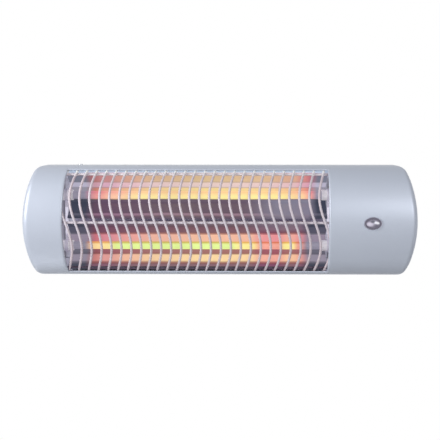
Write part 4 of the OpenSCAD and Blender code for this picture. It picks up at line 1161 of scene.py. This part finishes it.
def finish_lens():
    """Smoky rose plastic dome with painted highlights and reflections. A broad spot lightens its middle.
    Over it lie a pale patch at the lower left, a dark one at the lower right, two bright ones at the right
    and a dark streak above the middle. A faint painted glow lightens it all."""
    material, tree, shader, place = start_material("lens")
    across, up = from_lens_middle(tree, place, LENS_HALF_LENGTH, LENS_HALF_HEIGHT)
    colour = (0.11, 0.10, 0.145, 1)
    for x, z, reach, shown in LENS_PAINTED_REFLECTIONS:
        far = hypotenuse(tree, minus(tree, across, x), minus(tree, up, z))
        colour = blend_colours(tree, ramp(tree, far, reach, reach * 0.25), colour, shown)
    flutes = ramp(tree, put(tree, "TexWave", {"Vector": place, "Scale": 160.0, "Distortion": 0.4,
                                              "Detail": 1.0}).outputs["Fac"], 0, 1, 0.9, 1.0)
    colour = blend_colours(tree, flutes, (0.2, 0.17, 0.22, 1), colour)
    # Painted light: a faint glow lightens the whole dome.
    fill(tree, shader, {"Base Color": colour, "Emission Color": colour, "Emission Strength": 0.25,
                        "Roughness": 0.12, "Coat Weight": 0.5, "Coat Roughness": 0.05})
    return material


def finish_neon():
    """Small glass lamp filled with an uneven orange glow."""
    material, tree, shader, place = start_material("neon")
    layers = noise(tree, place, 500, 2, spread=(0.6, 1.0))
    fill(tree, shader, {"Base Color": (0.8, 0.35, 0.22, 1), "Emission Color": rgb(255, 132, 70),
                        "Emission Strength": product(tree, layers, 1.2), "Roughness": 0.1,
                        "Transmission Weight": 0.4})
    return material


MATERIALS.update({"bezel_chrome": finish_bezel(), "lens": finish_lens(), "neon": finish_neon()})
print("all finishes:", len(MATERIALS))

# %% [markdown]
# Each new piece is given its finish by name. A CAD piece brings the name of its finish with it, in its
# first slot.

# %% Every piece gets its finish
FINISH_OF = {"casing": "casing_paint", "window_ledge": "ledge_paint_and_painted_glow", "wires": "guard_wire",
             "coil_upper": "coil", "coil_lower": "coil", "spring": "spring_steel"}
for name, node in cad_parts.items():
    if node.material_slots:
        FINISH_OF[name] = node.material_slots[0].name.split(".")[0]
for name, finish in FINISH_OF.items():
    data = bpy.data.objects[name].data
    data.materials.clear()
    data.materials.append(MATERIALS[finish])
print("finishes:", len(set(FINISH_OF.values())), "on", len(FINISH_OF), "pieces")

# %% [markdown]
# ## Light
# A catalogue picture: a pure white background, a broad soft lamp at the left a little above the camera's
# height, a weaker one at the right, a very weak one below that lifts the underside, and an even room light.
# The room is split by the kind of ray: the camera, mirrors and glass see white, while the heater isn't
# flooded with its light.

# %% Room light and lamps
ROOM_AMBIENT = 0.2  # strength of the light that the room gives
LAMPS = [  # name, place, the point it faces, width, height, power in watts
    ("left lamp", (-0.95, -0.75, 0.35), (-0.1, -0.1, 0), 0.5, 0.5, 10.5),
    ("right lamp", (0.80, -1.60, 0.52), (0.2, -0.1, 0), 0.5, 0.4, 8.3),
    ("low lamp", (-0.42, -0.13, -0.6), (-0.3, -0.1, 0), 0.8, 0.2, 0.6),
]


def seen_directly(tree):
    """1 for what the camera sees, also in mirrors and through glass, and 0 for what only gives light."""
    rays = put(tree, "LightPath").outputs
    return maths(tree, "MAXIMUM", maths(tree, "MAXIMUM", rays["Is Camera Ray"], rays["Is Glossy Ray"]),
                 rays["Is Transmission Ray"])


def make_room(ambient, shown):
    """World background: one strength for what the camera, mirrors and glass see, another for the light it
    gives."""
    world = bpy.data.worlds.new("room")
    bpy.context.scene.world = world
    world.use_nodes = True
    tree = world.node_tree
    tree.nodes.clear()
    strength = ramp(tree, seen_directly(tree), 0, 1, ambient, shown, smooth=False)
    background = put(tree, "Background", {"Color": (1, 1, 1, 1), "Strength": strength})
    put(tree, "OutputWorld", {"Surface": background.outputs[0]})


def add_lamp(name, place, aim, width, height, power):
    """A soft rectangular lamp that faces a point."""
    data = bpy.data.lights.new(name, "AREA")
    data.shape = "RECTANGLE"
    data.size, data.size_y = width, height
    data.energy = power
    stand_and_face(bpy.data.objects.new(name, data), place, Vector(aim) - Vector(place))


make_room(ROOM_AMBIENT, shown=1.0)
for lamp in LAMPS:
    add_lamp(*lamp)
bpy.context.scene.view_settings.view_transform = "Standard"

# %% [markdown]
# The floor is a pale ground, grey enough to take a shadow. A little glow that only the eye meets makes it
# look paler without lighting the heater's underside. Seen from below it is clear, so that the heater can be
# looked at from there.

# %% Floor
FLOOR_HEIGHT, FLOOR_HALF_WIDTH, FLOOR_FRONT, FLOOR_BACK = -0.62, 1.4, -1.3, 0.7
FLOOR_LIFT = 0.3  # glow of the floor for the eye alone


def finish_floor():
    """Pale grey that the eye sees a little lighter, and nothing at all from below."""
    material, tree, shader, _ = start_material("pale floor")
    fill(tree, shader, {"Base Color": (0.72, 0.72, 0.72, 1), "Roughness": 0.8,
                        "Emission Color": (1, 1, 1, 1),
                        "Emission Strength": product(tree, seen_directly(tree), FLOOR_LIFT)})
    from_below = put(tree, "NewGeometry").outputs["Backfacing"]
    side = put(tree, "MixShader", {"Fac": from_below, 1: shader.outputs[0],
                                   2: put(tree, "BsdfTransparent").outputs[0]})
    fill(tree, tree.nodes["Material Output"], {"Surface": side.outputs[0]})
    return material


corners = [(-1, FLOOR_FRONT), (1, FLOOR_FRONT), (1, FLOOR_BACK), (-1, FLOOR_BACK)]
corners = [(side * FLOOR_HALF_WIDTH, y, FLOOR_HEIGHT) for side, y in corners]
floor_mesh = bpy.data.meshes.new("floor")
floor_mesh.from_pydata(corners, [], [(0, 1, 2, 3)])
floor = bpy.data.objects.new("floor", floor_mesh)
bpy.context.scene.collection.objects.link(floor)
floor_mesh.materials.append(finish_floor())
print("floor lies", -FLOOR_HEIGHT, "m below the middle of the heater")
